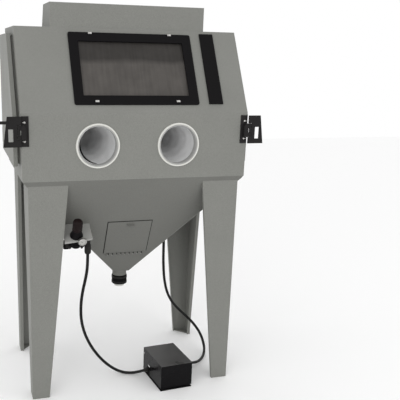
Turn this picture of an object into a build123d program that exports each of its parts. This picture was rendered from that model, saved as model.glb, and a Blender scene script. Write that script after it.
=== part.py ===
"""Sandblast cabinet on four folded legs, with two side doors, a sloping window, a hopper and a foot valve.

Everything is first placed in the cabinet's own frame: x = 0 at mid-width, y = 0 at the face of the
vertical front panel (+Y towards the back), z = 0 on the floor. Before export it all moves so that the
origin is under the middle of the whole object's box, on the floor. Units are millimetres.
"""
from build123d import *
import math
import os

# ---- overall cabinet -------------------------------------------------------------------------
width = 1067.0              # across the front panel
depth = 660.0               # vertical front face to back face
bottom_height = 1080.0      # floor to the lower edge of the front panel
bend_height = 1384.0        # floor to the bend between the vertical front and the slope
slope_length = 424.0        # bend to roof edge, along the slope
slope_angle = 30.0          # lean of the slope from vertical, in degrees
sheet = 2.0                 # body sheet thickness

# ---- light housing on the roof ---------------------------------------------------------------
housing_width = 742.0
housing_height = 108.0
housing_top_depth = 206.0
housing_base_depth = 262.0
lens_width = 640.0
lens_depth = 150.0
lens_thickness = 5.0
lens_seat = 12.0            # how far the lens laps over the roof opening
lens_back_gap = 45.0        # front edge of the roof to the opening
tube_radius = 13.0
tube_length = 590.0
tube_spacing = 76.0
tube_rise = 46.0            # tube axis above the roof
socket_thickness = 14.0

# ---- window ----------------------------------------------------------------------------------
frame_width = 588.0
frame_height = 360.0
frame_bar = 44.0
frame_thickness = 7.0
frame_low_edge = 38.0       # bend to the lower edge of the frame, along the slope
pane_lap = 20.0             # how far the pane laps behind the frame opening
pane_thickness = 6.0
gasket_thickness = 3.0
clip_spacing = 382.0
clip_length = 17.0
clip_width = 9.0
clip_thickness = 2.5

# ---- plain cover strip beside the window -----------------------------------------------------
strip_width = 68.0
strip_length = 364.0
strip_thickness = 9.0
strip_centre = 379.0        # from mid-width

# ---- arm ports -------------------------------------------------------------------------------
port_height = 1236.5
port_spacing = 383.0
ring_radius = 101.5
ring_bead = 10.0
ring_proud = 8.0
spigot_radius = 91.0
spigot_wall = 3.0
spigot_depth = 34.0
sleeve_wall = 2.5
sleeve_length = 430.0
cuff_radius = 55.0
soft_gap = 0.3

# ---- side doors ------------------------------------------------------------------------------
door_setback = 60.0         # door's front edge behind the front panel
door_low = 1143.0
door_high = 1719.0
door_rear_gap = 12.0        # door's rear edge short of the back face
door_pan_depth = 18.0
door_seal = 12.0
door_lap = 42.0             # how far the pan laps over the side opening
pan_flange = 28.0
seal_inset = 11.0
seal_width = 15.0
hinge_offset = 24.0         # hinge axis out from the cabinet's side
hinge_behind = 3.0          # hinge axis behind the back face
hinge_radius = 6.0
hinge_pin_radius = 3.0
hinge_knuckle = 26.0
hinge_gap = 0.6
hinge_leaf = 3.0
hinge_leaf_reach = 42.0
hinge_levels = (1215.0, 1640.0)
running_gap = 0.06

# ---- door latches ----------------------------------------------------------------------------
latch_low = 1239.0
latch_high = 1371.0
latch_inboard = 33.0        # base plate's reach onto the front panel
latch_plate = 4.0
latch_pivot_out = 11.0      # pivot axis out from the cabinet's side
latch_pivot_front = 15.0    # pivot axis in front of the front panel
latch_barrel = 6.0
latch_pin = 2.5
latch_thickness = 5.0
latch_gap = 0.8
loop_top_reach = 61.0       # loop's outer edge beyond the cabinet's side, at its top
loop_low_reach = 79.0
slot_near = 35.0
slot_far = 56.0
slot_low = 1262.0
slot_high = 1317.0
housing_low = 1270.0
housing_high = 1333.0
grip_height = 1345.0
grip_radius = 7.0
grip_length = 40.0
bolt_radius = 5.5

# ---- hopper ----------------------------------------------------------------------------------
hopper_bottom = 533.0
outlet_size = 79.0
hopper_wall = 2.5           # horizontal wall thickness
hopper_flange = 24.0
outlet_radius = 37.0
outlet_wall = 3.0
outlet_low = 478.0
coupling_radius = 40.0
coupling_low = 457.0
coupling_high = 505.0
plug_radius = 27.0
plug_low = 441.0
cleanout_width = 222.0
cleanout_height = 212.0
cleanout_top = 266.0        # from the hopper's top edge, down its front face
cleanout_lap = 14.0
cleanout_plate = 2.5
cleanout_gap = 0.4          # hopper's face to the closed plate
cleanout_barrel = 4.0
grate_thickness = 4.0

# ---- legs ------------------------------------------------------------------------------------
leg_inset_x = 25.0
leg_inset_y = 12.0
leg_top_width = 185.0
leg_foot_width = 82.0
leg_sheet = 3.0
leg_lip = 17.0
foot_plate = 4.0

# ---- regulator group -------------------------------------------------------------------------
shelf_down = 265.0          # from the hopper's top edge, down its front face
shelf_sheet = 3.0
shelf_left = -344.0
shelf_right = -209.0
shelf_left_reach = 123.0
shelf_right_reach = 106.0
shelf_lip = 11.0
regulator_x = -283.0
regulator_out = 84.0        # regulator axis out from the hopper's face
neck_radius = 18.0
bonnet_height = 38.0
bonnet_base = 31.0
bonnet_top = 21.0
stem_radius = 6.0
stem_height = 30.0          # stem above the bonnet
knob_radius = 24.5
knob_height = 60.0
body_width = 54.0
body_drop = 60.0
gauge_x = -262.0
gauge_radius = 20.0
gauge_depth = 17.0
gauge_rise = 4.0
boss_radius = 17.5
boss_reach = 6.0
inlet_radius = 13.0
inlet_bore = 9.0
inlet_length = 34.0
inlet_depth = 22.0
elbow_x = -226.0
elbow_radius = 13.5
fitting_radius = 12.0
ferrule_length = 12.0

# ---- foot valve ------------------------------------------------------------------------------
pedal_x = 197.0
pedal_y = 66.0
pedal_turn = 5.0
pedal_width = 170.0
pedal_length = 242.0
pedal_height = 135.0
pedal_sheet = 2.5
pedal_clearance = 2.0
pedal_travel = 8.0          # drop of the treadle's front edge when it is pressed
treadle_pin_radius = 4.0
treadle_pin_drop = 27.0     # treadle's top to its pin
pin_inset = 14.0            # pin in front of the treadle's rear edge
ear_rise = 10.0             # base ear above the pin
valve_radius = 19.0
valve_height = 62.0
plunger_radius = 5.0
button_height = 6.0
button_gap = 0.8            # plunger's button to the underside of the treadle
port_setback = 46.0         # hose ports behind the pedal's middle
port_fitting_height = 43.0
port_radius = 8.0

# ---- air hoses: routes chosen by hand, in the cabinet's frame --------------------------------
hose_radius = 7.5
hose_1_route = [
    (-226, 64, 712), (-226, 64, 652), (-234, 70, 588), (-248, 81, 515), (-254, 98, 436),
    (-248, 121, 346), (-224, 146, 256), (-183, 167, 168), (-131, 179, 92), (-76, 180, 38),
    (-23, 167, 10), (22, 147, 10), (53, 125, 22), (84, 110, 36),
]
hose_2_route = [
    (302, 122, 43), (336, 127, 41), (380, 146, 28), (430, 190, 13), (478, 250, 16),
    (507, 322, 38), (505, 388, 86), (468, 428, 142), (412, 446, 196), (353, 446, 256),
    (309, 432, 330), (283, 414, 418), (270, 399, 510), (264, 388, 598), (264, 388, 680),
]

# ---- back ------------------------------------------------------------------------------------
collar_radius = 51.0
collar_wall = 2.0
collar_length = 55.0
collar_x = 300.0
collar_z = 1560.0
collar_flange = 14.0        # flange beyond the tube

# ---- blast gun on its hook -------------------------------------------------------------------
gun_x = 150.0
gun_z = 1395.0
gun_stand_off = 70.0        # gun's axis in front of the back panel
gun_body_radius = 17.0
gun_body_half = 60.0        # half the body's length
gun_nozzle_radius = 11.0
gun_nozzle_length = 45.0
gun_tail_radius = 10.0
gun_tail_length = 32.0
gun_inlet_radius = 9.0
gun_inlet_reach = 52.0      # gun's axis to the end of its side inlet
gun_inlet_rise = 14.0
hook_plate = 3.0
hook_width = 100.0
hook_arm_width = 80.0
hook_arm_reach = 30.0       # arm beyond the gun's axis
hook_arm_low = -3.0         # arm's underside from the gun's middle
hook_arm_high = 4.0         # arm's top from the gun's middle
hook_drop = 45.0

half = width / 2
treadle_pin_height = pedal_height - treadle_pin_drop
setback = slope_length * math.sin(math.radians(slope_angle))
roof_height = bend_height + slope_length * math.cos(math.radians(slope_angle))
slope_plane = Plane(
    origin=(0, 0, bend_height),
    x_dir=(1, 0, 0),
    z_dir=(0, -math.cos(math.radians(slope_angle)), math.sin(math.radians(slope_angle))),
)
hopper_drop = bottom_height - hopper_bottom
hopper_lean = math.atan2(depth / 2 - outlet_size / 2, hopper_drop)
hopper_plane = Plane(
    origin=(0, 0, bottom_height),
    x_dir=(1, 0, 0),
    z_dir=(0, -math.cos(hopper_lean), -math.sin(hopper_lean)),
)
door_rear = depth - door_rear_gap
pan_inner = half + door_seal
pan_outer = half + door_seal + door_pan_depth
hinge_x = half + hinge_offset
hinge_y = depth + hinge_behind
pedal_plane = Plane(
    origin=(pedal_x, pedal_y, 0),
    x_dir=Vector(1, 0, 0).rotate(Axis.Z, pedal_turn),
    z_dir=(0, 0, 1),
)


# ---- small shape helpers ---------------------------------------------------------------------
def block(x0, x1, y0, y1, z0, z1):
    """A box between two corners."""
    return Pos((x0 + x1) / 2, (y0 + y1) / 2, (z0 + z1) / 2) * Box(abs(x1 - x0), abs(y1 - y0), abs(z1 - z0))


def side_prism(outline, x0, x1):
    """An outline of (y, z) points, extruded from x0 to x1."""
    face = make_face(Polyline(*[(x0, y, z) for y, z in outline], close=True))
    return extrude(face, amount=x1 - x0, dir=(1, 0, 0))


def front_prism(outline, y0, y1):
    """An outline of (x, z) points, extruded from y0 to y1."""
    face = make_face(Polyline(*[(x, y0, z) for x, z in outline], close=True))
    return extrude(face, amount=y1 - y0, dir=(0, 1, 0))


def rod(start, end, radius):
    """A round bar between two points."""
    start, end = Vector(*start), Vector(*end)
    plane = Plane(origin=start, z_dir=(end - start).normalized())
    return extrude(plane * Circle(radius), amount=(end - start).length)


def pad(plane, u, v, size_u, size_v, w0, w1):
    """A box on a plane, centred at (u, v) and standing from w0 to w1 along the plane's normal."""
    return plane * Pos(u, v, (w0 + w1) / 2) * Box(size_u, size_v, w1 - w0)


def shrink(outline, amount):
    """A convex outline with every edge moved inwards by the amount."""
    centre = (sum(p[0] for p in outline) / len(outline), sum(p[1] for p in outline) / len(outline))
    lines = []
    for (ax, ay), (bx, by) in zip(outline, outline[1:] + outline[:1]):
        length = math.hypot(bx - ax, by - ay)
        nx, ny = (by - ay) / length, (ax - bx) / length
        if nx * (centre[0] - ax) + ny * (centre[1] - ay) < 0:
            nx, ny = -nx, -ny
        lines.append((nx, ny, nx * ax + ny * ay + amount))
    corners = []
    for (a, b, c), (d, e, f) in zip(lines[-1:] + lines[:-1], lines):
        det = a * e - b * d
        corners.append(((c * e - b * f) / det, (a * f - c * d) / det))
    return corners


def mirrored(shape):
    """The same shape on the other side of the cabinet."""
    return mirror(shape, about=Plane.YZ)


def cabinet_outline():
    """The cabinet's side outline, as (y, z) points."""
    front = [(0, bottom_height), (0, bend_height), (setback, roof_height)]
    return front + [(depth, roof_height), (depth, bottom_height)]


def door_outline():
    """The side door's outline: it keeps its setback from the vertical front and from the slope."""
    lean = math.radians(slope_angle)
    bend = bend_height - door_setback * math.tan(lean / 2)
    top_front = door_setback + (door_high - bend) * math.tan(lean)
    front = [(door_setback, door_low), (door_setback, bend), (top_front, door_high)]
    return front + [(door_rear, door_high), (door_rear, door_low)]


# ---- cabinet shell ---------------------------------------------------------------------------
def shell_wrap():
    """Front, slope, roof and back as one folded wrap, before it is split."""
    outer = cabinet_outline()
    inner = shrink(outer, sheet)
    inner[0] = (sheet, bottom_height)
    inner[-1] = (depth - sheet, bottom_height)
    return side_prism(outer, -half, half) - side_prism(inner, -half - 1, half + 1)


def front_panel():
    wrap = shell_wrap()
    roof_start = setback + sheet * math.tan(math.radians(45 - slope_angle / 2))
    panel = wrap & block(-half, half, -1, roof_start, bottom_height, roof_height)
    opening = pad(slope_plane, 0, frame_low_edge + frame_height / 2, frame_width - 2 * frame_bar + 16,
                  frame_height - 2 * frame_bar + 16, -10, 10)
    panel -= opening
    for side in (-1, 1):
        x = side * port_spacing / 2
        panel -= rod((x, -5, port_height), (x, 5, port_height), spigot_radius + soft_gap)
    return panel


def roof_panel():
    roof_start = setback + sheet * math.tan(math.radians(45 - slope_angle / 2))
    panel = shell_wrap() & block(-half, half, roof_start, depth - sheet, roof_height - sheet, roof_height)
    y0 = setback + lens_back_gap
    opening = block(-lens_width / 2, lens_width / 2, y0, y0 + lens_depth, roof_height - 9, roof_height + 9)
    return panel - opening


def collar_rod(start, end, radius):
    """A bar along the exhaust collar's axis, between two distances behind the back face."""
    return rod((collar_x, depth + start, collar_z), (collar_x, depth + end, collar_z), radius)


def back_panel():
    panel = block(-half, half, depth - sheet, depth, bottom_height, roof_height)
    return panel - collar_rod(-9, 9, collar_radius + soft_gap)


def side_frame():
    """Left side wall with the door opening."""
    inner = shrink(cabinet_outline(), sheet)
    inner[0] = (sheet, bottom_height)
    inner[-1] = (depth - sheet, bottom_height)
    wall = side_prism(inner, -half, -half + sheet)
    return wall - side_prism(shrink(door_outline(), door_lap), -half - 1, -half + sheet + 1)


# ---- light housing ---------------------------------------------------------------------------
def housing_outline():
    y0 = setback
    z0, z1 = roof_height, roof_height + housing_height
    return [(y0, z0), (y0, z1), (y0 + housing_top_depth, z1), (y0 + housing_base_depth, z0)]


def light_housing():
    outer = side_prism(housing_outline(), -housing_width / 2, housing_width / 2)
    inner = shrink(housing_outline(), sheet)
    slope = (housing_base_depth - housing_top_depth) / housing_height
    inner[0] = (setback + sheet, roof_height - 1)
    inner[-1] = (inner[2][0] + (inner[2][1] - roof_height + 1) * slope, roof_height - 1)
    hollow = side_prism(inner, -housing_width / 2 + sheet, housing_width / 2 - sheet)
    return outer - hollow


def light_lens():
    y0 = setback + lens_back_gap - lens_seat
    x1 = lens_width / 2 + lens_seat
    y1 = y0 + lens_depth + 2 * lens_seat
    return block(-x1, x1, y0, y1, roof_height, roof_height + lens_thickness)


def tube_centres():
    middle = setback + lens_back_gap + lens_depth / 2
    return [(middle + side * tube_spacing / 2, roof_height + tube_rise) for side in (-1, 1)]


def lamp_tubes():
    return [rod((-tube_length / 2, y, z), (tube_length / 2, y, z), tube_radius) for y, z in tube_centres()]


def lamp_sockets():
    """Socket blocks at the tube ends, standing on the lens."""
    x0 = tube_length / 2
    z_low = roof_height + lens_thickness
    sockets = []
    for side in (-1, 1):
        for y, z in tube_centres():
            sockets.append(block(side * x0, side * (x0 + socket_thickness), y - 11, y + 11, z_low, z + 15))
    return sockets


# ---- window ----------------------------------------------------------------------------------
def window_middle():
    return frame_low_edge + frame_height / 2


def window_frame():
    v = window_middle()
    bar = pad(slope_plane, 0, v, frame_width, frame_height, 0, frame_thickness)
    bar = fillet(bar.edges().filter_by(Axis(slope_plane.origin, slope_plane.z_dir)), 9)
    return bar - pad(slope_plane, 0, v, frame_width - 2 * frame_bar, frame_height - 2 * frame_bar, -1, 20)


def pane_size():
    return frame_width - 2 * frame_bar + 2 * pane_lap, frame_height - 2 * frame_bar + 2 * pane_lap


def window_gasket():
    size_u, size_v = pane_size()
    ring = pad(slope_plane, 0, window_middle(), size_u, size_v, -sheet - gasket_thickness, -sheet)
    return ring - pad(slope_plane, 0, window_middle(), size_u - 24, size_v - 24, -20, 5)


def window_glass():
    size_u, size_v = pane_size()
    back = -sheet - gasket_thickness - pane_thickness
    return pad(slope_plane, 0, window_middle(), size_u, size_v, back, back + pane_thickness)


def window_clips():
    """Four bright clips: two on the frame's upper edge, two on its lower bar."""
    clips = []
    for v in (frame_low_edge + frame_height - clip_width / 2, frame_low_edge + 15):
        for side in (-1, 1):
            clips.append(pad(slope_plane, side * clip_spacing / 2, v, clip_length, clip_width,
                             frame_thickness, frame_thickness + clip_thickness))
    return clips


def side_strip_cover():
    v = window_middle() + 6
    cover = pad(slope_plane, strip_centre, v, strip_width, strip_length, 0, strip_thickness)
    rim = cover.faces().sort_by(Axis(slope_plane.origin, slope_plane.z_dir))[-1].edges()
    cover = chamfer(rim, 2)
    inner = (strip_width - 6, strip_length - 6)
    return cover - pad(slope_plane, strip_centre, v, *inner, -1, strip_thickness - sheet)


# ---- arm ports -------------------------------------------------------------------------------
def turned_y(profile, x, z):
    """A profile of (radius, y) points, turned about an axis along Y at (x, z)."""
    face = make_face(Polyline(*[(x + r, y, z) for r, y in profile], close=True))
    return revolve(face, axis=Axis((x, 0, z), (0, 1, 0)))


def arm_ring():
    """Left port ring: a rounded bead outside and a spigot through the panel."""
    inner = spigot_radius - spigot_wall
    bead = ring_radius - ring_bead
    profile = [
        (inner, -ring_proud + 2), (bead + 1, -ring_proud), (ring_radius - 3, -ring_proud),
        (ring_radius, -ring_proud + 3), (ring_radius, 0), (spigot_radius, 0),
        (spigot_radius, spigot_depth), (inner, spigot_depth),
    ]
    return turned_y(profile, -port_spacing / 2, port_height)


def sleeve():
    """Left arm sleeve and glove, as one tapering bag clamped on the ring's spigot."""
    start = sheet + 8
    inner_start = spigot_radius + soft_gap
    end = start + sleeve_length
    profile = [
        (inner_start, start), (inner_start + sleeve_wall, start),
        (inner_start + sleeve_wall, spigot_depth + 6), (cuff_radius + sleeve_wall, end - 40),
        (cuff_radius * 0.6, end), (0, end), (0, end - sleeve_wall),
        (cuff_radius * 0.6 - 1, end - sleeve_wall), (cuff_radius, end - 41 - sleeve_wall),
        (inner_start, spigot_depth + 5),
    ]
    return turned_y(profile, -port_spacing / 2, port_height)


# ---- side doors ------------------------------------------------------------------------------
def side_door():
    """Left door: a folded pan with an inner flange that carries the seal."""
    outline = door_outline()
    pan = side_prism(outline, -pan_outer, -pan_inner)
    pan -= side_prism(shrink(outline, sheet), -pan_outer + sheet, -pan_inner - sheet)
    return pan - side_prism(shrink(outline, pan_flange), -pan_inner - sheet - 1, -pan_inner + 1)


def door_seal_strip():
    outline = door_outline()
    ring = side_prism(shrink(outline, seal_inset), -pan_inner, -half - soft_gap)
    return ring - side_prism(shrink(outline, seal_inset + seal_width), -pan_inner - 1, -half + 1)


def hinge_barrel(z0, z1, pin):
    """One hinge knuckle on the left hinge axis, bored for its pin."""
    barrel = rod((-hinge_x, hinge_y, z0), (-hinge_x, hinge_y, z1), hinge_radius)
    return barrel - rod((-hinge_x, hinge_y, z0 - 1), (-hinge_x, hinge_y, z1 + 1), pin)


def fixed_hinge_leaf(level):
    """A leaf on the back panel with its two outer knuckles and the pin, for the left door."""
    z0, z3 = level - 1.5 * hinge_knuckle, level + 1.5 * hinge_knuckle
    z1, z2 = z0 + hinge_knuckle, z3 - hinge_knuckle
    leaf = block(-half - 2, -half + hinge_leaf_reach, depth, depth + hinge_leaf, z0, z3)
    pin = rod((-hinge_x, hinge_y, z0 - 3), (-hinge_x, hinge_y, z3 + 3), hinge_pin_radius)
    for low, high in ((z0, z1), (z2, z3)):
        leaf += block(-hinge_x, -half, depth, depth + hinge_leaf, low, high)
        leaf += rod((-hinge_x, hinge_y, low), (-hinge_x, hinge_y, high), hinge_radius)
    return leaf + pin


def door_hinge_leaf(level):
    """A leaf on the left door's rear edge with its middle knuckle."""
    z0 = level - hinge_knuckle / 2 + hinge_gap
    z1 = level + hinge_knuckle / 2 - hinge_gap
    reach = 1.5 * hinge_knuckle
    leaf = block(-pan_outer, -pan_inner, door_rear, door_rear + hinge_leaf, level - reach, level + reach)
    web = block(-hinge_x - 2, -hinge_x + 2, door_rear, hinge_y, z0, z1)
    barrel = rod((-hinge_x, hinge_y, z0), (-hinge_x, hinge_y, z1), hinge_radius)
    bore = rod((-hinge_x, hinge_y, z0 - 1), (-hinge_x, hinge_y, z1 + 1), hinge_pin_radius + running_gap)
    return leaf + web + barrel - bore


# ---- door latches ----------------------------------------------------------------------------
def pivot_x():
    return half + latch_pivot_out


def latch_knuckles():
    """Levels of the latch's three knuckles, from low to high."""
    third = (housing_high - housing_low) / 3
    return housing_low, housing_low + third, housing_high - third, housing_high


def latch_base():
    """Left latch base: a plate on the front panel with a raised, arch-topped housing and the pivot pin."""
    low, knuckle_low, knuckle_high, high = latch_knuckles()
    y = -latch_pivot_front
    plate = block(-half, -half + latch_inboard, -latch_plate, 0, latch_low, latch_high)
    outline = [(-half, low), (-half + 21, low), (-half + 21, high - 12), (-half + 12, high), (-half, high)]
    base = plate + front_prism(outline, y - 7, -latch_plate)
    for z0, z1 in ((low, knuckle_low), (knuckle_high, high)):
        base += block(-pivot_x(), -half + 1, y - 4, y + 4, z0, z1)
        base += rod((-pivot_x(), y, z0), (-pivot_x(), y, z1), latch_barrel)
    return base + rod((-pivot_x(), y, low), (-pivot_x(), y, high), latch_pin)


def latch_lever(grip_direction):
    """Left latch lever: a loop plate on the pivot, with a finger slot and a round grip."""
    _, knuckle_low, knuckle_high, _ = latch_knuckles()
    y = -latch_pivot_front
    near = half + latch_gap
    outline = [
        (-near, latch_low), (-half - loop_low_reach, latch_low),
        (-half - loop_top_reach, latch_high), (-near, latch_high),
    ]
    plate = front_prism(outline, y - latch_thickness / 2, y + latch_thickness / 2)
    plate -= block(-near - 17, -near + 1, y - 9, y + 9, housing_low - 1, housing_high + 1)
    plate -= block(-half - slot_far, -half - slot_near, y - 9, y + 9, slot_low, slot_high)
    z0, z1 = knuckle_low + hinge_gap, knuckle_high - hinge_gap
    plate += block(-near - 18, -pivot_x(), y - latch_thickness / 2, y + latch_thickness / 2, z0, z1)
    plate += rod((-pivot_x(), y, z0), (-pivot_x(), y, z1), latch_barrel)
    plate -= rod((-pivot_x(), y, z0 - 1), (-pivot_x(), y, z1 + 1), latch_pin + running_gap)
    start = Vector(-half - loop_top_reach + 4, y, grip_height)
    end = start + Vector(*grip_direction) * grip_length
    grip = rod(start, end, grip_radius)
    return plate + grip + Pos(*end) * Sphere(grip_radius)


def latch_bolts(x_side):
    """Bright bolt heads on one latch base."""
    x = x_side * (half - latch_inboard / 2 + 2)
    heads = []
    for z in (latch_low + 23, latch_high - 27):
        heads.append(rod((x, -latch_plate, z), (x, -latch_plate - 4.5, z), bolt_radius))
    return heads


# ---- hopper ----------------------------------------------------------------------------------
def hopper_solid(inset, top_raise=0.0):
    """The hopper's pyramid, with its walls moved in by a horizontal inset."""
    half_top = (half - inset, depth / 2 - inset)
    half_low = (outlet_size / 2 - inset, outlet_size / 2 - inset)
    low = Pos(0, depth / 2, hopper_bottom) * Rectangle(2 * half_low[0], 2 * half_low[1])
    top = Pos(0, depth / 2, bottom_height + top_raise) * Rectangle(2 * half_top[0], 2 * half_top[1])
    return loft([low, top], ruled=True)


def cleanout_centre():
    return -cleanout_top - cleanout_height / 2


def hopper():
    shell = hopper_solid(0) - hopper_solid(hopper_wall * 1.6)
    flange = block(-half, half, 0, depth, bottom_height - 3, bottom_height) & hopper_solid(0)
    inner = half - hopper_flange
    flange -= block(-inner, inner, hopper_flange, depth - hopper_flange, 0, bottom_height + 10)
    shell += flange
    end = outlet_size / 2 - 1
    shell += block(-end, end, depth / 2 - end, depth / 2 + end, hopper_bottom, hopper_bottom + 3)
    shell -= outlet_rod(hopper_bottom - 5, hopper_bottom + 9, outlet_radius - outlet_wall)
    return shell - pad(hopper_plane, 0, cleanout_centre(), cleanout_width - 2 * cleanout_lap,
                       cleanout_height - 2 * cleanout_lap, -15, 5)


def cleanout_door():
    """The clean-out plate with its stiffening flange and lower hinge knuckles."""
    v0 = -cleanout_top - cleanout_height
    face = cleanout_gap + cleanout_plate
    plate = pad(hopper_plane, 0, cleanout_centre(), cleanout_width, cleanout_height, cleanout_gap, face)
    for u in (-60, 60):
        web = pad(hopper_plane, u, v0 - cleanout_barrel / 2, 50, cleanout_barrel + 2, 1, face)
        plate += web + barrel_u(u - 25, u + 25, v0 - cleanout_barrel, cleanout_barrel)
    return plate - barrel_u(-120, 120, v0 - cleanout_barrel, cleanout_barrel / 2 + running_gap)


def barrel_u(u0, u1, v, radius):
    """A round bar along the clean-out hinge's axis, on the hopper's face."""
    start = hopper_plane.from_local_coords((u0, v, cleanout_barrel + 0.5))
    end = hopper_plane.from_local_coords((u1, v, cleanout_barrel + 0.5))
    return rod(tuple(start), tuple(end), radius)


def cleanout_hinge():
    """The hinge leaf fixed on the hopper, its knuckles and the pin."""
    v0 = -cleanout_top - cleanout_height - cleanout_barrel
    leaf = pad(hopper_plane, 0, v0 - cleanout_barrel - 6, 200, 10, 0, 2)
    for u0, u1 in ((-100, -86), (-34, 34), (86, 100)):
        middle = (u0 + u1) / 2
        v = v0 - cleanout_barrel / 2 - 2
        leaf += pad(hopper_plane, middle, v, u1 - u0, cleanout_barrel + 4, 0.5, 2.5)
        leaf += barrel_u(u0, u1, v0, cleanout_barrel)
    return leaf + barrel_u(-100, 100, v0, cleanout_barrel / 2)


def cleanout_pull():
    """A bent finger tab on the clean-out door."""
    v = -cleanout_top - 24
    base = cleanout_gap + cleanout_plate
    tab = pad(hopper_plane, 3, v, 36, 16, base, base + 2)
    return tab + pad(hopper_plane, 3, v + 7, 36, 2, base, base + 13)


def outlet_rod(low, high, radius):
    """A bar on the outlet's upright axis."""
    return rod((0, depth / 2, low), (0, depth / 2, high), radius)


def outlet_pipe():
    tube = outlet_rod(outlet_low, hopper_bottom, outlet_radius)
    return tube - outlet_rod(outlet_low - 1, hopper_bottom + 1, outlet_radius - outlet_wall)


def rubber_coupling():
    body = outlet_rod(coupling_low, coupling_high, coupling_radius)
    body -= outlet_rod(outlet_low - soft_gap, coupling_high + 1, outlet_radius + soft_gap)
    return body - outlet_rod(coupling_low - 1, coupling_high, plug_radius + running_gap)


def drain_plug():
    return outlet_rod(plug_low, outlet_low - 6, plug_radius)


def work_grate():
    """A slotted steel sheet that rests on the hopper's flange."""
    z0 = bottom_height
    edge = sheet + 3
    grate = block(-half + edge, half - edge, edge, depth - edge, z0, z0 + grate_thickness)
    slots = GridLocations(80, 44, 12, 13)
    return grate - Pos(0, depth / 2, z0 + grate_thickness / 2) * slots * Box(62, 30, 20)


# ---- legs ------------------------------------------------------------------------------------
def leg():
    """Front left leg: two tapering flanges with return lips and a triangular foot plate."""
    x0 = -half + leg_inset_x
    y0 = leg_inset_y
    top = bottom_height
    taper = [(0, 0), (leg_foot_width, 0), (leg_top_width, top), (0, top)]
    lip = [
        (leg_foot_width - leg_sheet, 0), (leg_foot_width, 0),
        (leg_top_width, top), (leg_top_width - leg_sheet, top),
    ]
    shape = front_prism([(x0 + a, z) for a, z in taper], y0, y0 + leg_sheet)
    shape += side_prism([(y0 + a, z) for a, z in taper], x0, x0 + leg_sheet)
    shape += front_prism([(x0 + a, z) for a, z in lip], y0, y0 + leg_lip)
    shape += side_prism([(y0 + a, z) for a, z in lip], x0, x0 + leg_lip)
    foot = [(x0, y0), (x0 + leg_foot_width, y0), (x0, y0 + leg_foot_width)]
    face = make_face(Polyline(*[(x, y, 0) for x, y in foot], close=True))
    shape += extrude(face, amount=foot_plate, dir=(0, 0, 1))
    return shape - hopper_solid(0)


# ---- regulator group -------------------------------------------------------------------------
shelf_plane = Plane(
    origin=tuple(hopper_plane.from_local_coords((0, -shelf_down, 0))),
    x_dir=(1, 0, 0),
    z_dir=tuple(hopper_plane.y_dir),
)


def on_shelf(x, out, rise):
    """A point from its x, its distance out from the hopper's face and its rise above the shelf."""
    return tuple(hopper_plane.from_local_coords((x, -shelf_down + rise, out)))


def regulator_bracket():
    """A shelf square to the hopper's face. Its front edge runs back to the right and has a lip."""
    corners = [
        (shelf_left, 0), (shelf_left, shelf_left_reach),
        (shelf_right, shelf_right_reach), (shelf_right + 3, 0),
    ]
    face = make_face(Polyline(*[on_shelf(x, out, 0) for x, out in corners], close=True))
    shelf = extrude(face, amount=shelf_sheet, dir=tuple(-shelf_plane.z_dir))
    edge = [
        (shelf_left, shelf_left_reach), (shelf_right, shelf_right_reach),
        (shelf_right, shelf_right_reach - 3), (shelf_left, shelf_left_reach - 3),
    ]
    lip = make_face(Polyline(*[on_shelf(x, out, 0) for x, out in edge], close=True))
    shelf += extrude(lip, amount=shelf_lip, dir=tuple(-shelf_plane.z_dir))
    axis = (regulator_x, regulator_out)
    return shelf - rod(on_shelf(*axis, -20), on_shelf(*axis, 9), neck_radius + soft_gap)


def regulator_body():
    """The regulator: a bonnet above the shelf, a neck through it and a ported body below."""
    axis = (regulator_x, regulator_out)
    bonnet = loft([shelf_disc(bonnet_base, 0), shelf_disc(bonnet_top, bonnet_height)])
    neck = rod(on_shelf(*axis, -shelf_sheet - 1), on_shelf(*axis, 1), neck_radius)
    body = rod(on_shelf(*axis, -shelf_sheet - body_drop), on_shelf(*axis, -shelf_sheet), body_width / 2)
    stem = rod(on_shelf(*axis, bonnet_height - 1), on_shelf(*axis, bonnet_height + stem_height), stem_radius)
    boss_height = -shelf_sheet - body_drop / 2
    reach = body_width / 2 + boss_reach
    start = on_shelf(regulator_x - reach, regulator_out, boss_height)
    end = on_shelf(regulator_x + reach, regulator_out, boss_height)
    boss = rod(start, end, boss_radius)
    return bonnet + neck + body + stem + boss


def shelf_disc(radius, rise):
    """A disc square to the regulator's axis."""
    origin = on_shelf(regulator_x, regulator_out, rise)
    plane = Plane(origin=origin, x_dir=(1, 0, 0), z_dir=tuple(shelf_plane.z_dir))
    return plane * Circle(radius)


def regulator_knob():
    """A ribbed knob that turns on the regulator's stem."""
    low, high = bonnet_height + 1, bonnet_height + 1 + knob_height
    axis = (regulator_x, regulator_out)
    knob = rod(on_shelf(*axis, low), on_shelf(*axis, high), knob_radius)
    knob = fillet(knob.edges().sort_by(Axis(on_shelf(*axis, 0), tuple(shelf_plane.z_dir)))[-1], 7)
    for turn in range(12):
        angle = math.radians(30 * turn)
        u = regulator_x + (knob_radius + 1) * math.cos(angle)
        w = regulator_out + (knob_radius + 1) * math.sin(angle)
        knob -= rod(on_shelf(u, w, low + 8), on_shelf(u, w, high + 2), 3)
    bore_top = bonnet_height + stem_height + 0.5
    return knob - rod(on_shelf(*axis, low - 1), on_shelf(*axis, bore_top), stem_radius + running_gap)


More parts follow.
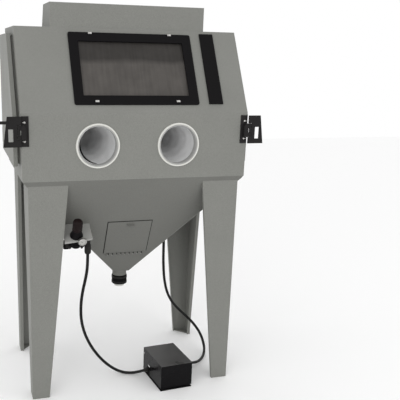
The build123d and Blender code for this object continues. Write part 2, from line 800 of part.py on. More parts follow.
def pressure_gauge():
    """A small round gauge on a bottom stem, in front of the shelf."""
    low = on_shelf(gauge_x, shelf_right_reach + 12, gauge_rise)
    high = on_shelf(gauge_x, shelf_right_reach + 12 + gauge_depth, gauge_rise)
    case = rod(low, high, gauge_radius)
    mid = shelf_right_reach + 12 + gauge_depth / 2
    port = -shelf_sheet - body_drop / 2
    stem = rod(on_shelf(gauge_x, mid, port), on_shelf(gauge_x, mid, gauge_rise - gauge_radius + 3), 6)
    nipple = rod(on_shelf(gauge_x, regulator_out + 18, port), on_shelf(gauge_x, mid + 6, port), 6)
    axis = (regulator_x, regulator_out)
    body = rod(on_shelf(*axis, -90), on_shelf(*axis, 0), body_width / 2)
    return case + stem + nipple - body


def air_inlet():
    """Inlet elbow on the regulator's left port, its threaded mouth turned down."""
    rise = -shelf_sheet - body_drop / 2
    port_x = regulator_x - body_width / 2 - boss_reach
    corner = Vector(*on_shelf(port_x - inlet_radius - 1, regulator_out, rise))
    mouth = corner - Vector(0, 0, inlet_length)
    elbow = rod(on_shelf(port_x, regulator_out, rise), corner, inlet_radius)
    elbow += Pos(*corner) * Sphere(inlet_radius)
    elbow += rod(corner, mouth, inlet_radius + 1)
    return elbow - rod(mouth - Vector(0, 0, 1), mouth + Vector(0, 0, inlet_depth), inlet_bore)


def regulator_elbow():
    """Elbow on the regulator's right port, turned down to the first hose."""
    rise = -shelf_sheet - body_drop / 2
    x0 = regulator_x + body_width / 2 + boss_reach
    port = Vector(*on_shelf(elbow_x, regulator_out, rise))
    foot = Vector(*hose_1_route[0])
    elbow = rod(on_shelf(x0, regulator_out, rise), tuple(port), elbow_radius)
    elbow += Pos(*port) * Sphere(elbow_radius)
    elbow += rod(tuple(port), tuple(foot + Vector(0, 0, 26)), elbow_radius - 1)
    return elbow + rod(tuple(foot), tuple(foot + Vector(0, 0, 30)), fitting_radius)


# ---- foot valve ------------------------------------------------------------------------------
def pedal_block(u0, u1, v0, v1, z0, z1):
    """A box in the pedal's own frame: u across it, v from front to back."""
    return pedal_plane * block(u0, u1, v0, v1, z0, z1)


def pedal_rod(start, end, radius):
    """A round bar in the pedal's own frame."""
    return pedal_plane * rod(start, end, radius)


def fitting_slot_cutter(side):
    """The open slot in the treadle's skirt that clears a hose fitting."""
    u = side * pedal_width / 2
    v = port_setback
    return pedal_block(u - 6, u + 6, v - 16, v + 16, -1, port_fitting_height + 22)


def pin_rod(u0, u1, radius):
    """A bar along the treadle pin's axis."""
    v = pedal_length / 2 - pin_inset
    return pedal_rod((u0, v, treadle_pin_height), (u1, v, treadle_pin_height), radius)


def treadle():
    """The hinged treadle: a top plate with a front skirt and two side skirts."""
    u, v = pedal_width / 2, pedal_length / 2
    low = pedal_travel + 6
    shell = pedal_block(-u, u, -v, v, low, pedal_height)
    inner = u - pedal_sheet
    shell -= pedal_block(-inner, inner, -v + pedal_sheet, v + 1, low - 1, pedal_height - pedal_sheet)
    shell += pedal_block(-u, u, -v - 3, -v, pedal_height - 9, pedal_height)
    for side in (-1, 1):
        shell -= fitting_slot_cutter(side)
        shell += pin_rod(side * (u - pedal_sheet), side * u, 9)
    return shell - pin_rod(-u - 1, u + 1, treadle_pin_radius + running_gap)


def port_rod(u0, u1, radius):
    """A bar along the axis of the valve's two ports."""
    v = port_setback
    return pedal_rod((u0, v, port_fitting_height), (u1, v, port_fitting_height), radius)


def pedal_base():
    """The base tray: a floor plate, low side walls and two rear ears for the treadle's pin."""
    u, v = pedal_width / 2, pedal_length / 2
    inner = u - pedal_sheet - pedal_clearance
    base = pedal_block(-u, u, -v, v, 0, 4)
    for side in (-1, 1):
        base += pedal_block(side * inner, side * (inner - 3), -v + 30, v - 4, 0, 48)
        ear_top = treadle_pin_height + ear_rise
        base += pedal_block(side * inner, side * (inner - 3), v - 40, v - 4, 0, ear_top)
        base -= port_rod(side * (inner + 2), side * (inner - 6), port_radius + soft_gap)
    return base - pin_rod(-u, u, treadle_pin_radius)


def treadle_pin():
    end = pedal_width / 2 + 2
    return pin_rod(-end, end, treadle_pin_radius)


def foot_valve():
    """The air valve in the base, with its two ports leading to the sides."""
    v = port_setback
    body = pedal_rod((0, v, 4), (0, v, valve_height), valve_radius)
    body += pedal_block(-26, 26, v - 15, v + 15, 4, 12)
    for side in (-1, 1):
        body += port_rod(0, side * (pedal_width / 2 + 2), port_radius)
    return body - pedal_rod((0, v, 20), (0, v, valve_height + 1), plunger_radius + running_gap)


def valve_plunger():
    """The valve's plunger, with a button that the treadle presses."""
    v = port_setback
    top = pedal_height - pedal_sheet - button_gap
    button = pedal_rod((0, v, top - button_height), (0, v, top), 9)
    return pedal_rod((0, v, 32), (0, v, top), plunger_radius) + button


def treadle_spring():
    """The return spring around the plunger, drawn as its outer tube."""
    v = port_setback
    top = pedal_height - pedal_sheet - button_gap - button_height - 0.5
    tube = pedal_rod((0, v, valve_height + 0.5), (0, v, top), 10)
    return tube - pedal_rod((0, v, valve_height - 1), (0, v, top + 1), 7.5)


def pedal_fitting(side):
    """A hose end fitting on one side of the foot valve."""
    x0 = side * (pedal_width / 2 + 2)
    x1 = x0 + side * 9
    return port_rod(x0, x1, 11), x1, port_setback


def ferrule(nut, end, neighbour, port, radius):
    """A nut with a hose ferrule, square to the hose's end and joined to the nut's port by a ball."""
    end = Vector(*end)
    inner = end + (end - Vector(*neighbour)).normalized() * ferrule_length
    swivel = nut + Pos(*inner) * Sphere(radius)
    swivel += rod(inner, port, radius - 0.6)
    return swivel + rod(end, inner, radius)


def pedal_fittings():
    """Nuts and ferrules from the valve's ports to the start of each hose."""
    fittings = []
    ends = ((-1, hose_1_route[-1], hose_1_route[-2]), (1, hose_2_route[0], hose_2_route[1]))
    for side, end, neighbour in ends:
        nut, x, v = pedal_fitting(side)
        port = pedal_plane.from_local_coords((x - side * 4, v, port_fitting_height))
        fittings.append(ferrule(nut, end, neighbour, port, fitting_radius - 3))
    return fittings


# ---- hoses -----------------------------------------------------------------------------------
def hose_path(route):
    """Straight runs joined by arcs, each as large as its two runs allow, and the arcs' radii."""
    points = [Vector(*p) for p in route]
    radii = []
    for before, corner, after in zip(points, points[1:], points[2:]):
        turn = math.radians((corner - before).get_angle(after - corner))
        shorter = min((corner - before).length, (after - corner).length)
        radii.append(0.45 * shorter / math.tan(turn / 2))
    return FilletPolyline(*points, radius=radii), radii


def hose(route):
    path, radii = hose_path(route)
    print("hose radii:", [round(r) for r in radii], "length:", round(path.length))
    tube = sweep(Plane(origin=path @ 0, z_dir=path % 0) * Circle(hose_radius), path=path)
    print("volume share:", round(tube.volume / (math.pi * hose_radius ** 2 * path.length), 4))
    return tube


def hopper_air_fitting():
    """A pipe stub under the hopper's right wall that takes the second hose."""
    end = Vector(*hose_2_route[-1])
    stub = rod(tuple(end), (end.X, end.Y, end.Z + 150), 10)
    nut = rod((end.X, end.Y, end.Z + 22), (end.X, end.Y, end.Z + 38), 14)
    return stub + nut - hopper_solid(0)


# ---- back and inside -------------------------------------------------------------------------
def exhaust_collar():
    """The dust exhaust collar on the back panel, with its flange."""
    tube = collar_rod(-6, collar_length, collar_radius)
    tube += collar_rod(0, 3, collar_radius + collar_flange)
    return tube - collar_rod(-7, collar_length + 1, collar_radius - collar_wall)


def blast_gun():
    """The blast gun, hanging by its body from a hook on the back wall."""
    x, z = gun_x, gun_z
    y = depth - sheet - gun_stand_off
    low, high = z - gun_body_half, z + gun_body_half
    gun = rod((x, y, low), (x, y, high), gun_body_radius)
    gun += rod((x, y, low - gun_nozzle_length), (x, y, low), gun_nozzle_radius)
    gun += rod((x, y, high), (x, y, high + gun_tail_length), gun_tail_radius)
    inlet_z = z + gun_inlet_rise
    return gun + rod((x - gun_inlet_reach, y, inlet_z), (x, y, inlet_z), gun_inlet_radius)


def gun_hook():
    """A hook plate on the back wall that holds the gun under its side inlet."""
    x, z = gun_x, gun_z
    y = depth - sheet
    axis_y = y - gun_stand_off
    top = z + hook_arm_high
    hook = block(x - hook_width / 2, x + hook_width / 2, y - hook_plate, y, z - hook_drop, top)
    hook += block(
        x - hook_arm_width / 2, x + hook_arm_width / 2, axis_y - hook_arm_reach, y - hook_plate,
        z + hook_arm_low, top,
    )
    return hook - rod((x, axis_y, z - 20), (x, axis_y, z + 20), gun_body_radius + soft_gap)


def build_parts():
    """All the named pieces, in the cabinet's frame."""
    near_leg = leg()
    far_leg = Pos(0, depth, 0) * mirror(near_leg, about=Plane.XZ)
    parts = {
        "front_panel": front_panel(),
        "roof_panel": roof_panel(),
        "back_panel": back_panel(),
        "left_side_frame": side_frame(),
        "right_side_frame": mirrored(side_frame()),
        "light_housing": light_housing(),
        "light_lens": light_lens(),
        "lamp_tubes": lamp_tubes(),
        "lamp_sockets": lamp_sockets(),
        "window_frame": window_frame(),
        "window_gasket": window_gasket(),
        "window_glass": window_glass(),
        "window_clips": window_clips(),
        "side_strip_cover": side_strip_cover(),
        "left_arm_ring": arm_ring(),
        "right_arm_ring": mirrored(arm_ring()),
        "left_sleeve": sleeve(),
        "right_sleeve": mirrored(sleeve()),
        "left_door": side_door(),
        "right_door": mirrored(side_door()),
        "left_door_seal": door_seal_strip(),
        "right_door_seal": mirrored(door_seal_strip()),
        "fixed_hinge_leaves": [fixed_hinge_leaf(z) for z in hinge_levels]
        + [mirrored(fixed_hinge_leaf(z)) for z in hinge_levels],
        "left_door_hinge_leaves": [door_hinge_leaf(z) for z in hinge_levels],
        "right_door_hinge_leaves": [mirrored(door_hinge_leaf(z)) for z in hinge_levels],
        "left_latch_base": latch_base(),
        "right_latch_base": mirrored(latch_base()),
        "left_latch_lever": latch_lever((-1, 0, 0)),
        "right_latch_lever": mirrored(latch_lever((0, 1, 0))),
        "latch_bolts": latch_bolts(-1) + latch_bolts(1),
        "hopper": hopper(),
        "work_grate": work_grate(),
        "cleanout_door": cleanout_door(),
        "cleanout_hinge": cleanout_hinge(),
        "cleanout_pull": cleanout_pull(),
        "outlet_pipe": outlet_pipe(),
        "rubber_coupling": rubber_coupling(),
        "drain_plug": drain_plug(),
        "front_left_leg": near_leg,
        "front_right_leg": mirrored(near_leg),
        "back_left_leg": far_leg,
        "back_right_leg": mirrored(far_leg),
        "regulator_bracket": regulator_bracket(),
        "regulator_body": regulator_body(),
        "regulator_knob": regulator_knob(),
        "pressure_gauge": pressure_gauge(),
        "air_inlet": air_inlet(),
        "regulator_elbow": regulator_elbow(),
        "treadle": treadle(),
        "pedal_base": pedal_base(),
        "treadle_pin": treadle_pin(),
        "foot_valve": foot_valve(),
        "valve_plunger": valve_plunger(),
        "treadle_spring": treadle_spring(),
        "pedal_fittings": pedal_fittings(),
        "hose_1": hose(hose_1_route),
        "hose_2": hose(hose_2_route),
        "hopper_air_fitting": hopper_air_fitting(),
        "exhaust_collar": exhaust_collar(),
        "blast_gun": [blast_gun(), gun_hook()],
    }
    return parts


def as_compound(shape):
    """One compound of all the solids in a shape or a list of shapes."""
    shapes = shape if isinstance(shape, list) else [shape]
    return Compound(children=[solid for s in shapes for solid in s.solids()])


def main():
    os.makedirs("parts", exist_ok=True)
    parts = {name: as_compound(shape) for name, shape in build_parts().items()}
    rigid = [shape.bounding_box() for name, shape in parts.items() if not name.startswith("hose_")]
    middle_x = (min(b.min.X for b in rigid) + max(b.max.X for b in rigid)) / 2
    middle_y = (min(b.min.Y for b in rigid) + max(b.max.Y for b in rigid)) / 2
    print("cabinet frame's origin:", round(-middle_x, 4), round(-middle_y, 4), 0)
    for name, shape in parts.items():
        export_step(Pos(-middle_x, -middle_y, 0) * shape, f"parts/{name}.step")


main()
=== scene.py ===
import logging
import math
from dataclasses import dataclass, field
from enum import Enum
from typing import Sequence

import bmesh
import bpy
import numpy as np
from mathutils import Matrix, Vector


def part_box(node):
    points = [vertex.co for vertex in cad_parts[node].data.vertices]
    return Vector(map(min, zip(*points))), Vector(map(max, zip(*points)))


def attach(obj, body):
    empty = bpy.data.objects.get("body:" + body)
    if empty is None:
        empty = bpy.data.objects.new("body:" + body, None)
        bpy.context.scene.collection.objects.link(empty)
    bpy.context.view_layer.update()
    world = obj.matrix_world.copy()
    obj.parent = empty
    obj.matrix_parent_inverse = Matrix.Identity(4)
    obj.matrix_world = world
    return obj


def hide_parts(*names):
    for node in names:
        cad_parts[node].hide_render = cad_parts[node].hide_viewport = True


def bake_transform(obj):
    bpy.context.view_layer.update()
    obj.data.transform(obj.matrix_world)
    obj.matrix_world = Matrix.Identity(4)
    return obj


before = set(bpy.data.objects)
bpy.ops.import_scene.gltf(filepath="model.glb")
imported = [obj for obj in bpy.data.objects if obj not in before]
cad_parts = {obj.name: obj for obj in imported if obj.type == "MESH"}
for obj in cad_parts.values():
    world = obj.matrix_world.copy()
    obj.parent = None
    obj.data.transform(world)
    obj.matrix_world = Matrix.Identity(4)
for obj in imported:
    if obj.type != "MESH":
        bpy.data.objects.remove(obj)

logging.basicConfig(level=logging.INFO, format="%(levelname)s %(message)s")
log = logging.getLogger("sandblast_cabinet")

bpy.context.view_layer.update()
HALF_WIDTH = 0.5335
PANEL_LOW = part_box("front_panel")[0]
ORIGIN = np.array([PANEL_LOW[0] + HALF_WIDTH, PANEL_LOW[1], 0.0])
MM = 0.001
SLOPE_ANGLE = math.radians(30.0)
HOPPER_ANGLE = math.atan2(290.5, 547.0)
MID_DEPTH = 330.0
BACK_FACE = 663.0
SHARP_ANGLE = 35.0

FORWARD = (0, -1, 0)
BACKWARD = (0, 1, 0)
RIGHTWARD = (1, 0, 0)
UPWARD = (0, 0, 1)

PEDAL_PLACE = (197.0, 66.0)
PEDAL_TURN = math.radians(5.0)
PEDAL_SIDEWAYS = np.array([math.cos(PEDAL_TURN), math.sin(PEDAL_TURN), 0.0])
PEDAL_BACKWARD = np.array([-math.sin(PEDAL_TURN), math.cos(PEDAL_TURN), 0.0])
VALVE_SETBACK = 46.0


class Body(Enum):
    """The CAD bodies that new pieces ride on."""

    CABINET = "cabinet"
    PLUG = "plug"
    KNOB = "knob"
    PLUNGER = "plunger"


# ---- placing -------------------------------------------------------------------------------------


def place(x: float, y: float, z: float) -> np.ndarray:
    """Moves a point from the cabinet's own frame to the row frame.

    Args:
        x: Millimetres to the right of mid-width.
        y: Millimetres behind the front panel.
        z: Millimetres above the floor.

    Returns:
        The point in metres.
    """
    return ORIGIN + np.array([x, y, z]) * MM


@dataclass(frozen=True)
class Facet:
    """A tilted face of the cabinet: its origin in millimetres, and its u, v and outward directions."""

    origin: tuple[float, float, float]
    up: tuple[float, float, float]
    out: tuple[float, float, float]

    def at(self, u: float, v: float, w: float) -> np.ndarray:
        """The row-frame point u across, v up the face and w out from it, in metres."""
        foot = np.array(self.origin) + np.array([u, 0.0, 0.0])
        return place(*(foot + v * np.array(self.up) + w * np.array(self.out)))


SLOPE = Facet(
    (0.0, 0.0, 1384.0),
    (0.0, math.sin(SLOPE_ANGLE), math.cos(SLOPE_ANGLE)),
    (0.0, -math.cos(SLOPE_ANGLE), math.sin(SLOPE_ANGLE)),
)
HOPPER_FACE = Facet(
    (0.0, 0.0, 1080.0),
    (0.0, -math.sin(HOPPER_ANGLE), math.cos(HOPPER_ANGLE)),
    (0.0, -math.cos(HOPPER_ANGLE), -math.sin(HOPPER_ANGLE)),
)


def valve_axis(height: float) -> np.ndarray:
    """The row-frame point on the foot valve's upright axis, at a height in millimetres."""
    return place(*PEDAL_PLACE, height) + VALVE_SETBACK * MM * PEDAL_BACKWARD


# ---- surfaces ------------------------------------------------------------------------------------


def circle(steps: int) -> np.ndarray:
    """Angles of evenly spaced points round a circle, without its end."""
    return np.linspace(0, 2 * np.pi, steps, endpoint=False)


def grid_object(
    name: str, points: np.ndarray, wrap_u: bool = True, wrap_v: bool = False
) -> bpy.types.Object:
    """Makes a mesh from a grid of points: each cell of the grid is one quad.

    Args:
        name: The piece's name.
        points: An array of rows, columns and x, y, z in metres.
        wrap_u: Whether the last column joins the first.
        wrap_v: Whether the last row joins the first.

    Returns:
        The linked object, with doubled points merged and its normals turned outwards.
    """
    rows, columns = points.shape[:2]
    i = np.arange(rows if wrap_v else rows - 1)[:, None]
    j = np.arange(columns if wrap_u else columns - 1)[None, :]
    i2, j2 = (i + 1) % rows, (j + 1) % columns
    corners = [i * columns + j, i * columns + j2, i2 * columns + j2, i2 * columns + j]
    quads = np.stack(corners, -1).reshape(-1, 4)
    mesh = bpy.data.meshes.new(name)
    mesh.vertices.add(rows * columns)
    mesh.vertices.foreach_set("co", points.reshape(-1).astype(np.float32))
    mesh.loops.add(quads.size)
    mesh.loops.foreach_set("vertex_index", quads.reshape(-1).astype(np.int32))
    mesh.polygons.add(len(quads))
    mesh.polygons.foreach_set("loop_start", np.arange(0, quads.size, 4, dtype=np.int32))
    mesh.update(calc_edges=True)
    mesh.validate()
    obj = bpy.data.objects.new(name, mesh)
    bpy.context.scene.collection.objects.link(obj)
    tidy_mesh(obj)
    return obj


def tidy_mesh(obj: bpy.types.Object, smooth_angle: float = SHARP_ANGLE) -> None:
    """Merges doubles, turns normals outwards and marks edges sharper than the angle.

    Args:
        obj: The piece.
        smooth_angle: Degrees below which an edge is shaded smooth.
    """
    shape = bmesh.new()
    shape.from_mesh(obj.data)
    bmesh.ops.remove_doubles(shape, verts=shape.verts, dist=2e-6)
    bmesh.ops.dissolve_degenerate(shape, edges=shape.edges, dist=1e-7)
    bmesh.ops.recalc_face_normals(shape, faces=shape.faces)
    shape.to_mesh(obj.data)
    shape.free()
    obj.data.shade_smooth()
    obj.data.set_sharp_from_angle(angle=math.radians(smooth_angle))


def axes_for(direction: Sequence[float]) -> tuple[np.ndarray, np.ndarray, np.ndarray]:
    """Three square unit directions, the last one along the given direction.

    Args:
        direction: A vector of any length.

    Returns:
        The two directions across, and the unit direction itself.
    """
    w = np.array(direction, float)
    w /= np.linalg.norm(w)
    helper = np.array([0.0, 0.0, 1.0]) if abs(w[2]) < 0.9 else np.array([1.0, 0.0, 0.0])
    u = np.cross(helper, w)
    u /= np.linalg.norm(u)
    return u, np.cross(w, u), w


def turned(
    name: str,
    profile: Sequence[tuple[float, float]],
    base: np.ndarray,
    direction: Sequence[float],
    segments: int = 96,
    lobes: int = 0,
    lobe_depth: float = 0.0,
    closed: bool = False,
) -> bpy.types.Object:
    """Turns a profile about an axis.

    A point of the profile at radius r and height h goes to base + h along the axis + r round it.
    With lobes, the radius is scaled by 1 + depth times the cosine of lobes times the turn.

    Args:
        name: The piece's name.
        profile: Pairs of radius and height in millimetres.
        base: Where the axis starts, in metres.
        direction: The axis.
        segments: Steps in a full turn.
        lobes: Ribs or flats round the piece.
        lobe_depth: How deep they are, as a share of the radius.
        closed: Whether the profile is a closed loop.

    Returns:
        The piece.
    """
    u, v, w = axes_for(direction)
    rows = np.array(profile, float) * MM
    turn = circle(segments)
    swell = 1 + lobe_depth * np.cos(lobes * turn)
    radius = rows[:, 0, None] * swell[None, :]
    ring = np.cos(turn)[:, None] * u + np.sin(turn)[:, None] * v
    points = base + rows[:, 1, None, None] * w + radius[..., None] * ring[None]
    return grid_object(name, points, True, closed)


def hexagon_turn(turn: np.ndarray) -> np.ndarray:
    """Share of the corner radius at each turn round a hexagon: cos 30 over the cosine from the flat."""
    return math.cos(math.pi / 6) / np.cos((turn % (math.pi / 3)) - math.pi / 6)


def hex_piece(
    name: str, across: float, height: float, base: np.ndarray, direction: Sequence[float]
) -> bpy.types.Object:
    """A hexagon nut or bolt head with chamfered corners.

    The radius at each turn is the hexagon's own, held close to its flat's radius at the top and
    bottom rows.

    Args:
        name: The piece's name.
        across: Distance across the flats in millimetres.
        height: Height in millimetres.
        base: The middle of its lower face, in metres.
        direction: Its axis.

    Returns:
        The piece.
    """
    u, v, w = axes_for(direction)
    segments, rim_share = 72, 1.01
    lower_chamfer, upper_chamfer = 0.12, 0.82
    turn = circle(segments)
    flat, corner = across / 2, across / 2 / math.cos(math.pi / 6)
    outline = corner * hexagon_turn(turn)
    rim = np.minimum(outline, flat * rim_share)
    middle = np.zeros(segments)
    rows = [middle, rim, outline, outline, rim, middle]
    heights = [0, 0, height * lower_chamfer, height * upper_chamfer, height, height]
    ring = np.cos(turn)[:, None] * u + np.sin(turn)[:, None] * v
    points = np.stack([base + h * MM * w + (r * MM)[:, None] * ring for r, h in zip(rows, heights)])
    return grid_object(name, points)


def bead(
    name: str, start: np.ndarray, end: np.ndarray, radius: float, pitch: float = 3.2
) -> bpy.types.Object:
    """A closed tube along a line, its radius swelling by about an eighth once in every pitch.

    Args:
        name: The piece's name.
        start: One end in metres.
        end: The other end.
        radius: Radius in millimetres.
        pitch: Length of one ripple in millimetres.

    Returns:
        The piece.
    """
    length = np.linalg.norm(end - start)
    rows_per_pitch, fewest_rows, swell = 4, 8, 0.12
    steps = max(int(length / (pitch * MM) * rows_per_pitch), fewest_rows)
    along = np.linspace(0, 1, steps)
    ripple = 1 + swell * np.abs(np.sin(np.pi * along * length / (pitch * MM)))
    closing = np.minimum(1, np.minimum(along, 1 - along) * steps / 2)
    u, v, _ = axes_for(end - start)
    turn = circle(10)
    ring = np.cos(turn)[:, None] * u + np.sin(turn)[:, None] * v
    reach = (radius * MM * ripple * closing)[:, None, None] * ring[None]
    return grid_object(name, start + along[:, None, None] * (end - start) + reach)


def joined(name: str, objects: Sequence[bpy.types.Object]) -> bpy.types.Object:
    """Joins several meshes into one named piece.

    Args:
        name: The piece's name.
        objects: The meshes, which are removed.

    Returns:
        The new piece.
    """
    shape = bmesh.new()
    for obj in objects:
        shape.from_mesh(obj.data)
    mesh = bpy.data.meshes.new(name)
    shape.to_mesh(mesh)
    shape.free()
    for obj in objects:
        bpy.data.objects.remove(obj)
    result = bpy.data.objects.new(name, mesh)
    bpy.context.scene.collection.objects.link(result)
    result.data.shade_smooth()
    result.data.set_sharp_from_angle(angle=math.radians(SHARP_ANGLE))
    return result


# ---- finishes ------------------------------------------------------------------------------------


class NodeKit:
    """Small helpers over one node tree."""

    def __init__(self, tree: bpy.types.NodeTree) -> None:
        """Keeps the tree that nodes are added to."""
        self.tree = tree

    def add(self, kind: str, **values: object) -> bpy.types.Node:
        """Adds a node; values are its properties.

        Args:
            kind: The node's type name.
            **values: Properties to set.

        Returns:
            The node.
        """
        node = self.tree.nodes.new(kind)
        for key, value in values.items():
            setattr(node, key, value)
        return node

    def link(self, source: bpy.types.NodeSocket, target: bpy.types.NodeSocket) -> None:
        """Links two sockets."""
        self.tree.links.new(source, target)

    def math(self, operation: str, a: object, b: object) -> bpy.types.NodeSocket:
        """A Math node on two sockets or numbers.

        Args:
            operation: The node's operation.
            a: A socket or number.
            b: A socket or number.

        Returns:
            The result's socket.
        """
        node = self.add("ShaderNodeMath", operation=operation)
        for index, value in enumerate((a, b)):
            if isinstance(value, (int, float)):
                node.inputs[index].default_value = value
            else:
                self.link(value, node.inputs[index])
        return node.outputs[0]

    def noise(
        self, vector: bpy.types.NodeSocket, scale: float, detail: float = 3.0
    ) -> bpy.types.NodeSocket:
        """A noise value between 0 and 1.

        Args:
            vector: Where to read it.
            scale: Its scale per metre.
            detail: Its octaves.

        Returns:
            The value's socket.
        """
        node = self.add("ShaderNodeTexNoise")
        node.inputs["Scale"].default_value = scale
        node.inputs["Detail"].default_value = detail
        self.link(vector, node.inputs["Vector"])
        return node.outputs["Fac"]


def surface_group(name: str, floats: dict[str, float]) -> tuple[bpy.types.NodeTree, NodeKit, dict]:
    """Starts a shader group: Colour and named numbers in, and Colour, Roughness and Height out.

    Args:
        name: The group's name.
        floats: Each number input and its default.

    Returns:
        The tree, its kit, and its input and output nodes with the Object coordinate socket.
    """
    tree = bpy.data.node_groups.new(name, "ShaderNodeTree")
    tree.interface.new_socket("Colour", in_out="INPUT", socket_type="NodeSocketColor")
    for key, value in floats.items():
        socket = tree.interface.new_socket(key, in_out="INPUT", socket_type="NodeSocketFloat")
        socket.default_value = value
    tree.interface.new_socket("Colour", in_out="OUTPUT", socket_type="NodeSocketColor")
    tree.interface.new_socket("Roughness", in_out="OUTPUT", socket_type="NodeSocketFloat")
    tree.interface.new_socket("Height", in_out="OUTPUT", socket_type="NodeSocketFloat")
    kit = NodeKit(tree)
    ends = {"in": kit.add("NodeGroupInput"), "out": kit.add("NodeGroupOutput")}
    ends["where"] = kit.add("ShaderNodeTexCoord").outputs["Object"]
    return tree, kit, ends


def build_sprayed_group() -> bpy.types.NodeTree:
    """Sprayed or moulded skin: slow mottling, fine speckle, and dust on what faces up.

    Returns:
        The group.
    """
    floats = {"Mottle": 0.05, "Speckle": 0.08, "Dust": 0.1, "Base Roughness": 0.45}
    tree, kit, ends = surface_group("sprayed_skin", floats)
    slow = kit.noise(ends["where"], 5.0, 4.0)
    fine = kit.noise(ends["where"], 420.0, 2.0)
    skin = kit.noise(ends["where"], 900.0, 1.0)
    mottle = kit.math("MULTIPLY", kit.math("SUBTRACT", slow, 0.5), ends["in"].outputs["Mottle"])
    speckle = kit.math("MULTIPLY", kit.math("SUBTRACT", fine, 0.5), ends["in"].outputs["Speckle"])
    gain = kit.math("ADD", kit.math("ADD", mottle, speckle), 1.0)
    scale = kit.add("ShaderNodeVectorMath", operation="SCALE")
    kit.link(ends["in"].outputs["Colour"], scale.inputs[0])
    kit.link(gain, scale.inputs["Scale"])
    facing = kit.add("ShaderNodeSeparateXYZ")
    kit.link(kit.add("ShaderNodeNewGeometry").outputs["Normal"], facing.inputs[0])
    up = kit.math("MULTIPLY", kit.math("MAXIMUM", facing.outputs["Z"], 0.0), slow)
    dust = kit.math("MULTIPLY", up, ends["in"].outputs["Dust"])
    mix = kit.add("ShaderNodeMix", data_type="RGBA")
    kit.link(dust, mix.inputs["Factor"])
    kit.link(scale.outputs[0], mix.inputs["A"])
    mix.inputs["B"].default_value = (0.42, 0.415, 0.405, 1)
    kit.link(mix.outputs["Result"], ends["out"].inputs["Colour"])
    rough = kit.math("ADD", ends["in"].outputs["Base Roughness"], kit.math("MULTIPLY", mottle, 2.0))
    kit.link(kit.math("ADD", rough, kit.math("MULTIPLY", dust, 0.5)), ends["out"].inputs["Roughness"])
    kit.link(kit.math("ADD", skin, kit.math("MULTIPLY", slow, 0.6)), ends["out"].inputs["Height"])
    return tree


def build_metal_group() -> bpy.types.NodeTree:
    """Worn bare metal: fine long scratches, stains and small pits.

    Returns:
        The group.
    """
    floats = {"Stain": 0.2, "Base Roughness": 0.3, "Stretch": 18.0}
    tree, kit, ends = surface_group("worn_metal", floats)
    mapping = kit.add("ShaderNodeVectorMath", operation="MULTIPLY")
    kit.link(ends["where"], mapping.inputs[0])
    combine = kit.add("ShaderNodeCombineXYZ")
    combine.inputs["Y"].default_value = 1.0
    combine.inputs["Z"].default_value = 1.0
    kit.link(ends["in"].outputs["Stretch"], combine.inputs["X"])
    kit.link(combine.outputs[0], mapping.inputs[1])
    scratch = kit.noise(mapping.outputs[0], 160.0, 4.0)
    stain = kit.noise(ends["where"], 60.0, 4.0)
    shade = kit.math("MULTIPLY", kit.math("SUBTRACT", stain, 0.4), ends["in"].outputs["Stain"])
    scale = kit.add("ShaderNodeVectorMath", operation="SCALE")
    kit.link(ends["in"].outputs["Colour"], scale.inputs[0])
    kit.link(kit.math("SUBTRACT", 1.0, shade), scale.inputs["Scale"])
    kit.link(scale.outputs[0], ends["out"].inputs["Colour"])
    rough = kit.math("ADD", ends["in"].outputs["Base Roughness"], kit.math("MULTIPLY", scratch, 0.18))
    kit.link(rough, ends["out"].inputs["Roughness"])
    kit.link(scratch, ends["out"].inputs["Height"])
    return tree


def build_cloth_group() -> bpy.types.NodeTree:
    """Coated cloth: two crossed sets of threads, with soft creases under them.

    Returns:
        The group.
    """
    tree, kit, ends = surface_group("coated_cloth", {"Thread": 0.12, "Base Roughness": 0.8})
    sets = []
    for direction in ("X", "Z"):
        wave = kit.add("ShaderNodeTexWave", bands_direction=direction)
        wave.inputs["Scale"].default_value = 260.0
        wave.inputs["Distortion"].default_value = 1.2
        kit.link(ends["where"], wave.inputs["Vector"])
        sets.append(wave.outputs["Fac"])
    thread = kit.math("MULTIPLY", sets[0], sets[1])
    crease = kit.noise(ends["where"], 22.0, 4.0)
    gain = kit.math("ADD", 0.88, kit.math("MULTIPLY", crease, ends["in"].outputs["Thread"]))
    scale = kit.add("ShaderNodeVectorMath", operation="SCALE")
    kit.link(ends["in"].outputs["Colour"], scale.inputs[0])
    kit.link(gain, scale.inputs["Scale"])
    kit.link(scale.outputs[0], ends["out"].inputs["Colour"])
    rough = kit.math("ADD", ends["in"].outputs["Base Roughness"], kit.math("MULTIPLY", thread, 0.08))
    kit.link(rough, ends["out"].inputs["Roughness"])
    height = kit.math("ADD", thread, kit.math("MULTIPLY", crease, 4.0))
    kit.link(height, ends["out"].inputs["Height"])
    return tree


